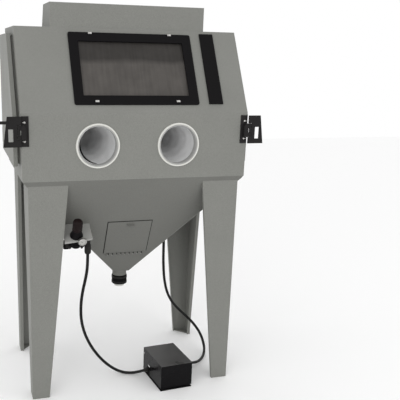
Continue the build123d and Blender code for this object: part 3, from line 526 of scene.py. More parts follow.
def build_pane_group() -> bpy.types.NodeTree:
    """A blasted pane: painted shade darkens its upper third, frosted below, with long vertical streaks.

    The shade falls along a straight ramp in Z, and the streaks are noise stretched along the pane's
    slope.

    Returns:
        The group.
    """
    floats = {"Step Height": 1.605, "Upper Shade": 0.55, "Streaks": 0.55, "Base Roughness": 0.35}
    tree, kit, ends = surface_group("dusty_pane_painted_shade", floats)
    axes = kit.add("ShaderNodeSeparateXYZ")
    kit.link(ends["where"], axes.inputs[0])
    wander = kit.math("MULTIPLY", kit.math("SUBTRACT", kit.noise(ends["where"], 7.0, 3.0), 0.5), 0.04)
    level = kit.math("ADD", axes.outputs["Z"], wander)
    above = kit.math("SUBTRACT", level, ends["in"].outputs["Step Height"])
    step = kit.add("ShaderNodeClamp")
    kit.link(kit.math("ADD", kit.math("MULTIPLY", above, 40.0), 0.5), step.inputs["Value"])
    stretched = kit.add("ShaderNodeCombineXYZ")
    kit.link(axes.outputs["X"], stretched.inputs["X"])
    kit.link(kit.math("MULTIPLY", axes.outputs["Z"], 0.07), stretched.inputs["Z"])
    streak = kit.noise(stretched.outputs[0], 70.0, 4.0)
    cloud = kit.noise(ends["where"], 16.0, 5.0)
    # Painted shade: the upper third of the pane is darkened here.
    shade = kit.math("MULTIPLY", step.outputs[0], ends["in"].outputs["Upper Shade"])
    dark = kit.math("SUBTRACT", 1.0, shade)
    both = kit.math("ADD", kit.math("SUBTRACT", streak, 0.5), kit.math("SUBTRACT", cloud, 0.5))
    gain = kit.math("ADD", 1.0, kit.math("MULTIPLY", both, ends["in"].outputs["Streaks"]))
    scale = kit.add("ShaderNodeVectorMath", operation="SCALE")
    kit.link(ends["in"].outputs["Colour"], scale.inputs[0])
    kit.link(kit.math("MULTIPLY", gain, dark), scale.inputs["Scale"])
    kit.link(scale.outputs[0], ends["out"].inputs["Colour"])
    rough = kit.math("ADD", ends["in"].outputs["Base Roughness"], kit.math("MULTIPLY", streak, 0.2))
    kit.link(rough, ends["out"].inputs["Roughness"])
    kit.link(cloud, ends["out"].inputs["Height"])
    return tree


@dataclass(frozen=True)
class Finish:
    """One finish: which shared group it uses, that group's values and the shader's own values."""

    name: str
    group: str
    colour: tuple[float, float, float]
    values: dict = field(default_factory=dict)
    bump: float = 0.1
    bump_depth: float = 0.0002
    metallic: float = 0.0
    coat: float = 0.0
    transmission: float = 0.0
    ior: float = 1.5
    specular: float = 0.5

    def build(self, groups: dict[str, bpy.types.NodeTree]) -> bpy.types.Material:
        """Makes the material.

        Args:
            groups: The shared groups by name.

        Returns:
            The material.
        """
        material = bpy.data.materials.new(self.name)
        material.use_nodes = True
        material.diffuse_color = (*self.colour, 1)
        kit = NodeKit(material.node_tree)
        shader = material.node_tree.nodes["Principled BSDF"]
        node = kit.add("ShaderNodeGroup")
        node.node_tree = groups[self.group]
        node.inputs["Colour"].default_value = (*self.colour, 1)
        for key, value in self.values.items():
            node.inputs[key].default_value = value
        kit.link(node.outputs["Colour"], shader.inputs["Base Color"])
        kit.link(node.outputs["Roughness"], shader.inputs["Roughness"])
        raised = kit.add("ShaderNodeBump")
        raised.inputs["Strength"].default_value = self.bump
        raised.inputs["Distance"].default_value = self.bump_depth
        kit.link(node.outputs["Height"], raised.inputs["Height"])
        kit.link(raised.outputs["Normal"], shader.inputs["Normal"])
        shader.inputs["Metallic"].default_value = self.metallic
        shader.inputs["Coat Weight"].default_value = self.coat
        shader.inputs["Coat Roughness"].default_value = 0.12
        shader.inputs["Transmission Weight"].default_value = self.transmission
        shader.inputs["IOR"].default_value = self.ior
        shader.inputs["Specular IOR Level"].default_value = self.specular
        return material


def skin(mottle: float, speckle: float, dust: float, roughness: float) -> dict[str, float]:
    """Values of the sprayed skin group."""
    return {"Mottle": mottle, "Speckle": speckle, "Dust": dust, "Base Roughness": roughness}


def metal(stain: float, roughness: float) -> dict[str, float]:
    """Values of the worn metal group."""
    return {"Stain": stain, "Base Roughness": roughness}


FINISHES = (
    Finish(
        "cabinet_paint", "sprayed_skin", (0.2, 0.202, 0.186), skin(0.14, 0.6, 0.08, 0.55),
        0.25, 0.00025, specular=0.3,
    ),
    # The hopper's paint is the cabinet's paint darkened: painted shade for the hopper's downward-facing
    # faces.
    Finish(
        "hopper_paint_painted_shade", "sprayed_skin", (0.158, 0.159, 0.147), skin(0.16, 0.6, 0.05, 0.6),
        0.25, 0.00025, specular=0.2,
    ),
    # The shelf's paint is the cabinet's paint made lighter: painted light for the shelf's upward face.
    Finish(
        "shelf_paint_painted_light", "sprayed_skin", (0.33, 0.33, 0.315), skin(0.16, 0.6, 0.1, 0.55),
        0.25, 0.00025, specular=0.3,
    ),
    Finish(
        "black_paint", "sprayed_skin", (0.006, 0.0055, 0.006), skin(0.5, 0.8, 0.0, 0.55),
        0.3, 0.0003, specular=0.07,
    ),
    Finish(
        "latch_paint", "sprayed_skin", (0.017, 0.016, 0.016), skin(0.6, 1.0, 0.0, 0.5),
        0.3, 0.0003, specular=0.1,
    ),
    Finish(
        "spigot_grey", "sprayed_skin", (0.36, 0.36, 0.35), skin(0.1, 0.2, 0.0, 0.6),
        0.15, specular=0.2,
    ),
    Finish(
        "treadle_gloss", "sprayed_skin", (0.003, 0.0025, 0.0032), skin(0.5, 0.6, 0.25, 0.2),
        0.15, 0.0002, specular=0.12,
    ),
    Finish(
        "knob_plastic", "sprayed_skin", (0.012, 0.007, 0.007), skin(0.6, 0.5, 0.0, 0.5),
        0.2, specular=0.1,
    ),
    Finish("ring_plastic", "sprayed_skin", (0.68, 0.68, 0.64), skin(0.06, 0.06, 0.0, 0.35), 0.1),
    Finish(
        "hose_rubber", "sprayed_skin", (0.006, 0.006, 0.006), skin(0.5, 0.6, 0.0, 0.45),
        0.25, specular=0.2,
    ),
    Finish(
        "seal_rubber", "sprayed_skin", (0.006, 0.006, 0.006), skin(0.3, 0.6, 0.0, 0.7),
        0.35, specular=0.05,
    ),
    Finish(
        "door_seal_foam", "sprayed_skin", (0.14, 0.14, 0.13), skin(0.3, 0.6, 0.02, 0.9),
        0.4, 0.0005, specular=0.1,
    ),
    Finish("plug_plastic", "sprayed_skin", (0.68, 0.68, 0.65), skin(0.1, 0.1, 0.0, 0.4), 0.1),
    Finish("dial_enamel", "sprayed_skin", (0.42, 0.42, 0.4), skin(0.05, 0.04, 0.0, 0.3), 0.05),
    Finish("lamp_white", "sprayed_skin", (0.8, 0.8, 0.78), skin(0.03, 0.03, 0.0, 0.25), 0.05),
    Finish("bright_steel", "worn_metal", (0.62, 0.61, 0.59), metal(0.2, 0.22), 0.1, metallic=1.0),
    Finish("dull_steel", "worn_metal", (0.34, 0.335, 0.32), metal(0.5, 0.42), 0.15, metallic=1.0),
    Finish("dark_fitting", "worn_metal", (0.01, 0.0095, 0.009), metal(0.6, 0.4), 0.15, specular=0.2),
    Finish(
        "sleeve_cloth", "coated_cloth", (0.76, 0.76, 0.76), {"Thread": 0.25, "Base Roughness": 0.8},
        0.3, 0.0005, specular=0.2,
    ),
    Finish(
        "window_pane", "dusty_pane_painted_shade", (0.088, 0.081, 0.075), {},
        0.05, transmission=0.12, specular=0.12,
    ),
    Finish("lens_glass", "worn_metal", (0.8, 0.8, 0.8), metal(0.2, 0.2), 0.05, transmission=0.6),
)

NODE_FINISH = {
    "cabinet_paint": "front_panel roof_panel back_panel left_side_frame right_side_frame "
    "light_housing left_door right_door front_left_leg front_right_leg back_left_leg "
    "back_right_leg exhaust_collar",
    "shelf_paint_painted_light": "regulator_bracket",
    "hopper_paint_painted_shade": "hopper cleanout_door cleanout_hinge outlet_pipe cleanout_pull",
    "latch_paint": "left_latch_base right_latch_base left_latch_lever right_latch_lever",
    "black_paint": "window_frame side_strip_cover pedal_base regulator_body lamp_sockets",
    "treadle_gloss": "treadle",
    "knob_plastic": "regulator_knob",
    "ring_plastic": "left_arm_ring right_arm_ring",
    "hose_rubber": "hose_1 hose_2",
    "seal_rubber": "window_gasket rubber_coupling",
    "door_seal_foam": "left_door_seal right_door_seal",
    "plug_plastic": "drain_plug",
    "lamp_white": "lamp_tubes",
    "bright_steel": "window_clips latch_bolts treadle_pin valve_plunger treadle_spring pressure_gauge",
    "dull_steel": "fixed_hinge_leaves left_door_hinge_leaves right_door_hinge_leaves work_grate "
    "blast_gun",
    "dark_fitting": "air_inlet regulator_elbow pedal_fittings foot_valve hopper_air_fitting",
    "sleeve_cloth": "left_sleeve right_sleeve",
    "window_pane": "window_glass",
    "lens_glass": "light_lens",
}


class FinishShop:
    """Builds every finish once and dresses pieces in them."""

    def __init__(self) -> None:
        """Builds the shared groups and the materials."""
        groups = {
            "sprayed_skin": build_sprayed_group(),
            "worn_metal": build_metal_group(),
            "coated_cloth": build_cloth_group(),
            "dusty_pane_painted_shade": build_pane_group(),
        }
        self.materials = {finish.name: finish.build(groups) for finish in FINISHES}

    def dress(self, obj: bpy.types.Object, finish: str) -> None:
        """Gives a piece one finish."""
        obj.data.materials.clear()
        obj.data.materials.append(self.materials[finish])

    def dress_nodes(self) -> None:
        """Dresses every CAD node from the table of finishes."""
        for finish, names in NODE_FINISH.items():
            for name in names.split():
                self.dress(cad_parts[name], finish)

    def mount(self, obj: bpy.types.Object, finish: str, body: Body) -> bpy.types.Object:
        """Dresses a new piece and makes it ride on its body.

        Args:
            obj: The piece.
            finish: Its finish.
            body: The body it rides on.

        Returns:
            The same piece.
        """
        self.dress(obj, finish)
        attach(obj, body.value)
        log.info("piece %s on %s", obj.name, body.value)
        return obj


# ---- sub-assemblies ------------------------------------------------------------------------------


@dataclass
class Hoses:
    """Two air hoses that hang from their fittings and lie on the floor."""

    radius: float = 7.5
    first: tuple = (
        (-226, 64, 712), (-226, 64, 652), (-234, 70, 588), (-248, 81, 515), (-254, 98, 436),
        (-248, 121, 346), (-224, 146, 256), (-183, 167, 168), (-131, 179, 92), (-76, 180, 38),
        (-23, 167, 10), (22, 147, 10), (53, 125, 22), (84, 110, 36),
    )
    second: tuple = (
        (302, 122, 43), (336, 127, 41), (380, 146, 28), (430, 190, 13), (478, 250, 16),
        (507, 322, 38), (505, 388, 86), (468, 428, 142), (412, 446, 196), (353, 446, 256),
        (309, 432, 330), (283, 414, 418), (270, 399, 510), (264, 388, 598), (264, 388, 680),
    )

    def curve(self, name: str, route: tuple) -> bpy.types.Object:
        """A NURBS curve with the route's points as its control points, each carrying the hose's radius.

        Args:
            name: The piece's name.
            route: Points in millimetres in the cabinet's frame.

        Returns:
            The curve object.
        """
        data = bpy.data.curves.new(name, "CURVE")
        data.dimensions = "3D"
        spline = data.splines.new("NURBS")
        spline.points.add(len(route) - 1)
        for point, where in zip(spline.points, route):
            point.co = (*place(*where), 1.0)
            point.radius = self.radius * MM
        spline.order_u = 3
        spline.use_endpoint_u = True
        spline.resolution_u = 12
        data.bevel_depth = 1.0
        data.bevel_resolution = 8
        data.use_fill_caps = True
        obj = bpy.data.objects.new(name, data)
        bpy.context.scene.collection.objects.link(obj)
        return obj

    def length(self, obj: bpy.types.Object) -> float:
        """Length of the curve's own line in metres.

        Args:
            obj: The hose, whose bevel is taken off and put back.

        Returns:
            The length in metres.
        """
        depth, obj.data.bevel_depth = obj.data.bevel_depth, 0.0
        bpy.context.view_layer.update()
        mesh = bpy.data.meshes.new_from_object(obj.evaluated_get(bpy.context.evaluated_depsgraph_get()))
        points = np.empty(len(mesh.vertices) * 3, np.float32)
        mesh.vertices.foreach_get("co", points)
        bpy.data.meshes.remove(mesh)
        obj.data.bevel_depth = depth
        bpy.context.view_layer.update()
        return float(np.linalg.norm(np.diff(points.reshape(-1, 3), axis=0), axis=1).sum())

    def build(self, shop: FinishShop) -> None:
        """Args:
            shop: The finishes, which dress and mount each piece.
        """
        hoses = (("air_hose_a", "hose_1", self.first), ("air_hose_b", "hose_2", self.second))
        for name, node, route in hoses:
            hose = self.curve(name, route)
            shop.mount(hose, "hose_rubber", Body.CABINET)
            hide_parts(node)
            place(*route[0])
            self.length(hose)


@dataclass
class ArmPorts:
    """White port rings with their grey spigots, and the sleeves behind them."""

    spacing: float = 383.0
    height: float = 1236.5
    bore: float = 88.0
    bead: float = 92.5
    outer: float = 101.5
    proud: float = 8.0
    spigot_outer: float = 91.0
    spigot_mouth: float = 5.5
    spigot_depth: float = 34.0
    sleeve_mouth: float = 92.6
    sleeve_narrowing: float = 39.0
    sleeve_start: float = 10.5
    sleeve_length: float = 426.0
    sleeve_wall: float = 0.9
    sleeve_folds: int = 6
    fold_depth: float = 1.1
    edge_thickness: float = 3.6
    edge_inset: float = 17.0
    segments: int = 160

    def centre(self, side: int) -> np.ndarray:
        """The middle of a port in the front panel, in metres."""
        return place(side * self.spacing / 2, 0, self.height)

    def label(self, side: int) -> str:
        """The word for a side: left for -1, right for 1."""
        return "left" if side < 0 else "right"

    def ring(self, side: int) -> bpy.types.Object:
        """A ring whose outer bead is half an ellipse in section.

        Args:
            side: -1 for the left port, 1 for the right.

        Returns:
            The piece.
        """
        swing = np.linspace(0, math.pi, 22)
        middle, reach = (self.bead + self.outer) / 2, (self.outer - self.bead) / 2
        arc = np.stack([middle - reach * np.cos(swing), self.proud * np.sin(swing)], -1)
        profile = np.concatenate([arc, [[self.bead + 3, 0.0]]])
        name = f"port_ring_{self.label(side)}"
        return turned(name, profile, self.centre(side), FORWARD, self.segments, closed=True)

    def spigot(self, side: int) -> bpy.types.Object:
        """The tube behind a ring, with a rolled clamp band just inside its mouth.

        The band's height is a bell curve along the bore.

        Args:
            side: -1 for the left port, 1 for the right.

        Returns:
            The piece.
        """
        band_height, band_place, band_width = 1.5, 0.45, 0.1
        steps = np.linspace(0, 1, 40)
        roll = band_height * np.exp(-(((steps - band_place) / band_width) ** 2))
        depth = self.spigot_mouth - (self.spigot_mouth + self.spigot_depth) * steps
        inner = np.stack([self.bore + 0.2 - roll, depth], -1)
        outer = np.array([
            [self.spigot_outer, -self.spigot_depth], [self.spigot_outer, 0.1],
            [self.bead + 0.6, 0.2], [self.bead + 0.4, 5.2],
        ])
        profile = np.concatenate([inner, outer])
        name = f"port_spigot_{self.label(side)}"
        return turned(name, profile, self.centre(side), FORWARD, self.segments, closed=True)

    def sleeve(self, side: int) -> bpy.types.Object:
        """A moulded sleeve that narrows to a cuff and ends in a closed, flattened mitten.

        Along the sleeve the radius falls smoothly from the mouth to the cuff, and rings of shallow
        folds ride on it. Near its end the section flattens from side to side and closes along a
        quarter circle. The places named below are shares of the sleeve's length.

        Args:
            side: -1 for the left sleeve, 1 for the right.

        Returns:
            The piece, with a wall.
        """
        taper_start, taper_length = 0.08, 0.78
        closing_start, closing_length = 0.86, 0.14
        folds_start, folds_end, folds_fade = 0.12, 0.97, 0.1
        flat_start, flat_length, flat_depth = 0.7, 0.25, 0.28
        wander = 0.9
        along = np.linspace(0, 1, 150)
        turn = circle(128)
        fall = np.clip((along - taper_start) / taper_length, 0, 1)
        fall = fall * fall * (3 - 2 * fall)
        radius = self.sleeve_mouth - self.sleeve_narrowing * fall
        closed = np.clip((along - closing_start) / closing_length, 0, 1)
        closing = np.sqrt(np.clip(1 - closed**2, 0, 1))
        fade_in = np.clip((along - folds_start) / folds_fade, 0, 1)
        fade_out = np.clip((folds_end - along) / folds_fade, 0, 1)
        size = (self.fold_depth * fade_in * fade_out)[:, None]
        rings = 2 * np.pi * self.sleeve_folds * along[:, None]
        fold = size * np.sin(rings + wander * np.sin(2 * turn + side)[None, :]) - size
        reach = (radius * closing)[:, None] + fold * closing[:, None]
        flatten = 1 - flat_depth * np.clip((along - flat_start) / flat_length, 0, 1)
        x = reach * np.cos(turn) * flatten[:, None]
        z = reach * np.sin(turn)
        y = self.sleeve_start + self.sleeve_length * along[:, None] + 0 * x
        points = self.centre(side) + np.stack([x, y, z], -1) * MM
        obj = grid_object(f"sleeve_{self.label(side)}_bag", points)
        wall = obj.modifiers.new("wall", "SOLIDIFY")
        wall.thickness = self.sleeve_wall * MM
        wall.offset = -1
        return obj

    def mouth_painted_shadow(self) -> bpy.types.Object:
        """The loose edge of the left sleeve where it stands off its ring, made black as painted shadow
        for the shade in the gap between sleeve and ring.

        A tapering tube follows an arc of a circle just inside the spigot: at a share t of the arc its
        radius is the square root of half a sine wave, so both ends nearly close.

        Returns:
            The piece.
        """
        first_angle, sweep = 158, 112
        gap, sag, end_thickness, upright = 5.5, 4.0, 0.02, 1.4
        share = np.linspace(0, 1, 90)
        turn = np.radians(first_angle + sweep * share)
        thick = self.edge_thickness * np.sin(np.pi * share) ** 0.5 + end_thickness
        section = circle(12)
        middle = self.bore - gap - sag * np.sin(np.pi * share)
        reach = middle[:, None] + thick[:, None] * np.cos(section)
        depth = self.edge_inset + upright * thick[:, None] * np.sin(section)
        points = np.stack([reach * np.cos(turn)[:, None], depth, reach * np.sin(turn)[:, None]], -1)
        return grid_object("left_mouth_painted_shadow", self.centre(-1) + points * MM)

    def build(self, shop: FinishShop) -> None:
        """Builds both ports and the left sleeve's loose edge, which is black as painted shadow.

        Args:
            shop: The finishes, which dress and mount each piece.
        """
        # The left sleeve's loose edge in black rubber: painted shadow for the gap between sleeve and
        # ring.
        shop.mount(self.mouth_painted_shadow(), "seal_rubber", Body.CABINET)
        for side in (-1, 1):
            label = self.label(side)
            ring = shop.mount(self.ring(side), "ring_plastic", Body.CABINET)
            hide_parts(f"{label}_arm_ring")
            spigot = shop.mount(self.spigot(side), "spigot_grey", Body.CABINET)
            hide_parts(f"{label}_arm_ring")
            sleeve = shop.mount(self.sleeve(side), "sleeve_cloth", Body.CABINET)
            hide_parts(f"{label}_sleeve")


@dataclass
class Outlet:
    """The ribbed coupling under the hopper and its plug."""

    radius: float = 40.0
    low: float = 457.0
    high: float = 505.0
    ribs: int = 5
    rib_height: float = 1.4
    pipe_bore: float = 37.3
    plug_bore: float = 27.1
    plug_seat: float = 20.8
    plug_low: float = 441.0

    def build(self, shop: FinishShop) -> None:
        """Builds the coupling, whose ribs are a rounded sine wave up its side, and the plug.

        Args:
            shop: The finishes, which dress and mount each piece.
        """
        height = self.high - self.low
        steps = np.linspace(0, 1, 120)
        wave = np.abs(np.sin(self.ribs * np.pi * steps)) ** 0.6
        outer = np.stack([self.radius - 1.5 + self.rib_height * wave, steps * height], -1)
        inner = np.array([
            [self.pipe_bore, height], [self.pipe_bore, self.plug_seat],
            [self.plug_bore, self.plug_seat], [self.plug_bore, 0.0],
        ])
        profile, base = np.concatenate([outer, inner]), place(0, MID_DEPTH, self.low)
        coupling = turned("coupling_sleeve", profile, base, UPWARD, 128, closed=True)
        shop.mount(coupling, "seal_rubber", Body.CABINET)
        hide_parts("rubber_coupling")
        cup = [
            (0, 0), (22, 0), (25, 1.5), (26.8, 5), (26.8, 9),
            (25.4, 10), (25.4, 13), (26.9, 14), (26.9, 31), (0, 31),
        ]
        base = place(0, MID_DEPTH, self.plug_low)
        plug = turned("plug_cup", cup, base, UPWARD, 96, lobes=24, lobe_depth=0.003)
        shop.mount(plug, "plug_plastic", Body.PLUG)
        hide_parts("drain_plug")


@dataclass
class Regulator:
    """The air regulator on its tilted shelf: casting, port bar, knob and gauge."""

    x: float = -283.0
    out: float = 84.0
    down: float = 265.0
    boss_across: float = 40.0
    boss_length: float = 66.0
    boss_drop: float = 38.0
    screw_circle: float = 26.0
    screw_rise: float = 7.0
    port_drop: float = 50.0
    port_length: float = 94.0
    plug_drop: float = 58.0
    knob_rise: float = 39.0
    knob_ribs: int = 24
    gauge_x: float = -262.0
    gauge_out: float = 118.0
    gauge_rise: float = 4.0
    dial_out: float = 15.1
    dial_radius: float = 16.6
    pipe_radius: float = 6.0
    pipe_length: float = 24.0
    pipe_out: float = 8.5

    def at(self, x: float, out: float, rise: float) -> np.ndarray:
        """A row-frame point at x, out from the hopper's face and above the shelf."""
        return HOPPER_FACE.at(x, -self.down + rise, out)

    def build(self, shop: FinishShop) -> None:
        """Builds the casting, the port bar, the knob and the gauge.

        Args:
            shop: The finishes, which dress and mount each piece.
        """
        self.casting(shop)
        self.ports(shop)
        self.knob(shop)
        self.gauge(shop)
        self.gauge_face(shop)

    def casting(self, shop: FinishShop) -> None:
        """The bonnet and bowl, with the hexagon boss across them and four screws on the bonnet.

        Args:
            shop: The finishes, which dress and mount each piece.
        """
        up = HOPPER_FACE.up
        profile = [
            (0, -63), (20, -63), (25, -60), (26, -55), (26, -40), (23, -38), (23, -30), (26.5, -27),
            (26.5, -4), (18, -3), (18, 0.2), (30.6, 0.3), (30.8, 2), (30.8, 7), (29.5, 9), (29.4, 12),
            (27, 17), (24, 26), (22, 33), (20.5, 37.2), (6, 37.6), (6, 68), (0, 68),
        ]
        body = turned("regulator_bonnet", profile, self.at(self.x, self.out, 0), up)
        end = self.at(self.x - self.boss_length / 2, self.out, -self.boss_drop)
        boss = hex_piece("regulator_boss", self.boss_across, self.boss_length, end, RIGHTWARD)
        screws = []
        for k in range(4):
            turn = k * math.pi / 2 + 0.8
            across, out = self.screw_circle * math.cos(turn), self.screw_circle * math.sin(turn)
            foot = self.at(self.x + across, self.out + out, self.screw_rise)
            screws.append(hex_piece(f"bonnet_screw_{k}", 7, 4, foot, up))
        whole = joined("regulator_casting", [body, boss, *screws])
        shop.mount(whole, "black_paint", Body.CABINET)
        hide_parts("regulator_body")

    def ports(self, shop: FinishShop) -> None:
        """The bar through the bowl, with two plugs under it and one on its end.

        Args:
            shop: The finishes, which dress and mount each piece.
        """
        down = tuple(-np.array(HOPPER_FACE.up))
        length = self.port_length
        profile = [(0, 0), (11, 0), (12, 1), (12, length - 1), (11, length), (0, length)]
        end = self.at(self.x - 43, self.out, -self.port_drop)
        bar = turned("port_bar", profile, end, RIGHTWARD, 48)
        left = self.at(self.x - 30, self.out, -self.plug_drop)
        right = self.at(self.x + 37, self.out, -self.plug_drop)
        outer = self.at(self.x - 45, self.out, -self.port_drop)
        plugs = [
            hex_piece("port_plug_0", 24, 14, left, down),
            hex_piece("port_plug_1", 13, 12, right, down),
            hex_piece("port_plug_2", 28, 16, outer, RIGHTWARD),
        ]
        bar_and_plugs = joined("regulator_ports", [bar, *plugs])
        shop.mount(bar_and_plugs, "dark_fitting", Body.CABINET)

    def knob(self, shop: FinishShop) -> None:
        """The ribbed knob.

        Args:
            shop: The finishes, which dress and mount each piece.
        """
        profile = [
            (6.1, 0), (21.5, 0), (23.0, 1.5), (23.0, 7), (21.6, 9), (22.6, 12), (23.2, 40), (22.4, 48),
            (19.5, 55), (15, 58.6), (9, 59.6), (0, 59.8),
        ]
        base = self.at(self.x, self.out, self.knob_rise)
        knob = turned(
            "regulator_grip", profile, base, HOPPER_FACE.up, 192, lobes=self.knob_ribs, lobe_depth=0.028
        )
        shop.mount(knob, "knob_plastic", Body.KNOB)
        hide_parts("regulator_knob")

    def gauge(self, shop: FinishShop) -> None:
        """The gauge's case, and the pipe, nipple and nut that carry it.

        Args:
            shop: The finishes, which dress and mount each piece.
        """
        up, out = HOPPER_FACE.up, HOPPER_FACE.out
        profile = [
            (0, 0), (17, 0), (19.4, 1.5), (19.4, 13), (19.9, 13.6), (19.9, 16), (19.0, 17), (17.6, 17),
            (17.0, 15), (0, 15),
        ]
        back = self.at(self.gauge_x, self.gauge_out, self.gauge_rise)
        case = turned("gauge_case", profile, back, out)
        radius, length = self.pipe_radius, self.pipe_length
        tube = [(0, 0), (radius, 0), (radius, length), (0, length)]
        pipe_out = self.gauge_out + self.pipe_out
        stem = turned("gauge_stem", tube, self.at(self.gauge_x, pipe_out, -36), up, 32)
        inner_end = self.at(self.gauge_x, self.gauge_out - 12, -33)
        nipple = turned("gauge_nipple", tube, inner_end, out, 32)
        nut = hex_piece("gauge_nut", 13, 8, self.at(self.gauge_x, pipe_out, -27), up)
        shop.mount(case, "bright_steel", Body.CABINET)
        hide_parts("pressure_gauge")
        pipe = joined("gauge_pipe", [stem, nipple, nut])
        shop.mount(pipe, "dark_fitting", Body.CABINET)
        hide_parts("pressure_gauge")

    def gauge_face(self, shop: FinishShop) -> None:
        """The dial, eleven marks round three quarters of it, and the needle.

        Args:
            shop: The finishes, which dress and mount each piece.
        """
        out = np.array(HOPPER_FACE.out)
        face = self.at(self.gauge_x, self.gauge_out + self.dial_out, self.gauge_rise)
        disc = [(0, 0.8), (self.dial_radius, 0.8), (self.dial_radius, 0), (0, 0)]
        dial = turned("gauge_dial", disc, face, HOPPER_FACE.out, 64)
        shop.mount(dial, "dial_enamel", Body.CABINET)

        def ray(angle: float) -> np.ndarray:
            """The direction on the dial at an angle in degrees from its right."""
            right, up = np.array([1.0, 0, 0]), np.array(HOPPER_FACE.up)
            return math.cos(math.radians(angle)) * right + math.sin(math.radians(angle)) * up

        first_mark, mark_step, mark_radius, mark_length = 225, 27, 12.2, 3.2
        needle_angle, needle_tail, needle_length = 150, 3, 11
        marks = []
        for k in range(11):
            along = ray(first_mark - mark_step * k)
            start = face + (mark_radius * along + 1.0 * out) * MM
            marks.append(bead(f"mark_{k}", start, start + along * mark_length * MM, 0.35))
        along, hub = ray(needle_angle), face + 1.4 * out * MM
        tail, tip = hub - along * needle_tail * MM, hub + along * needle_length * MM
        marks.append(bead("needle", tail, tip, 0.5))
        shop.mount(joined("gauge_marks", marks), "black_paint", Body.CABINET)


@dataclass
class PedalSpring:
    """The coil spring between the foot valve and its plunger's button."""

    low: float = 63.8
    high: float = 123.9
    turns: int = 8
    coil: float = 8.75
    wire: float = 1.2
    blend_low: float = 68.0
    blend_high: float = 120.0

    def build(self, shop: FinishShop) -> None:
        """Builds a helix of round wire.

        At a share t of the wire, the coil has turned through turns times 2 pi t and risen by t of its
        height. The wire's section is a circle across the coil's radius and the upright.

        Args:
            shop: The finishes.
        """
        rows_per_turn, closing_rate = 40, 400
        share = np.linspace(0, 1, rows_per_turn * self.turns)
        turn = 2 * np.pi * self.turns * share
        section = circle(10)
        wire = self.wire * np.minimum(1, np.minimum(share, 1 - share) * closing_rate)
        reach = self.coil + wire[:, None] * np.cos(section)
        rise = (self.low + (self.high - self.low) * share)[:, None] + wire[:, None] * np.sin(section)
        points = np.stack([reach * np.cos(turn)[:, None], reach * np.sin(turn)[:, None], rise], -1)
        obj = grid_object("treadle_coil", valve_axis(0) + points * MM)
        shop.dress(obj, "bright_steel")
        low, high = valve_axis(self.blend_low), valve_axis(self.blend_high)
        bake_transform(obj)
        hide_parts("treadle_spring")


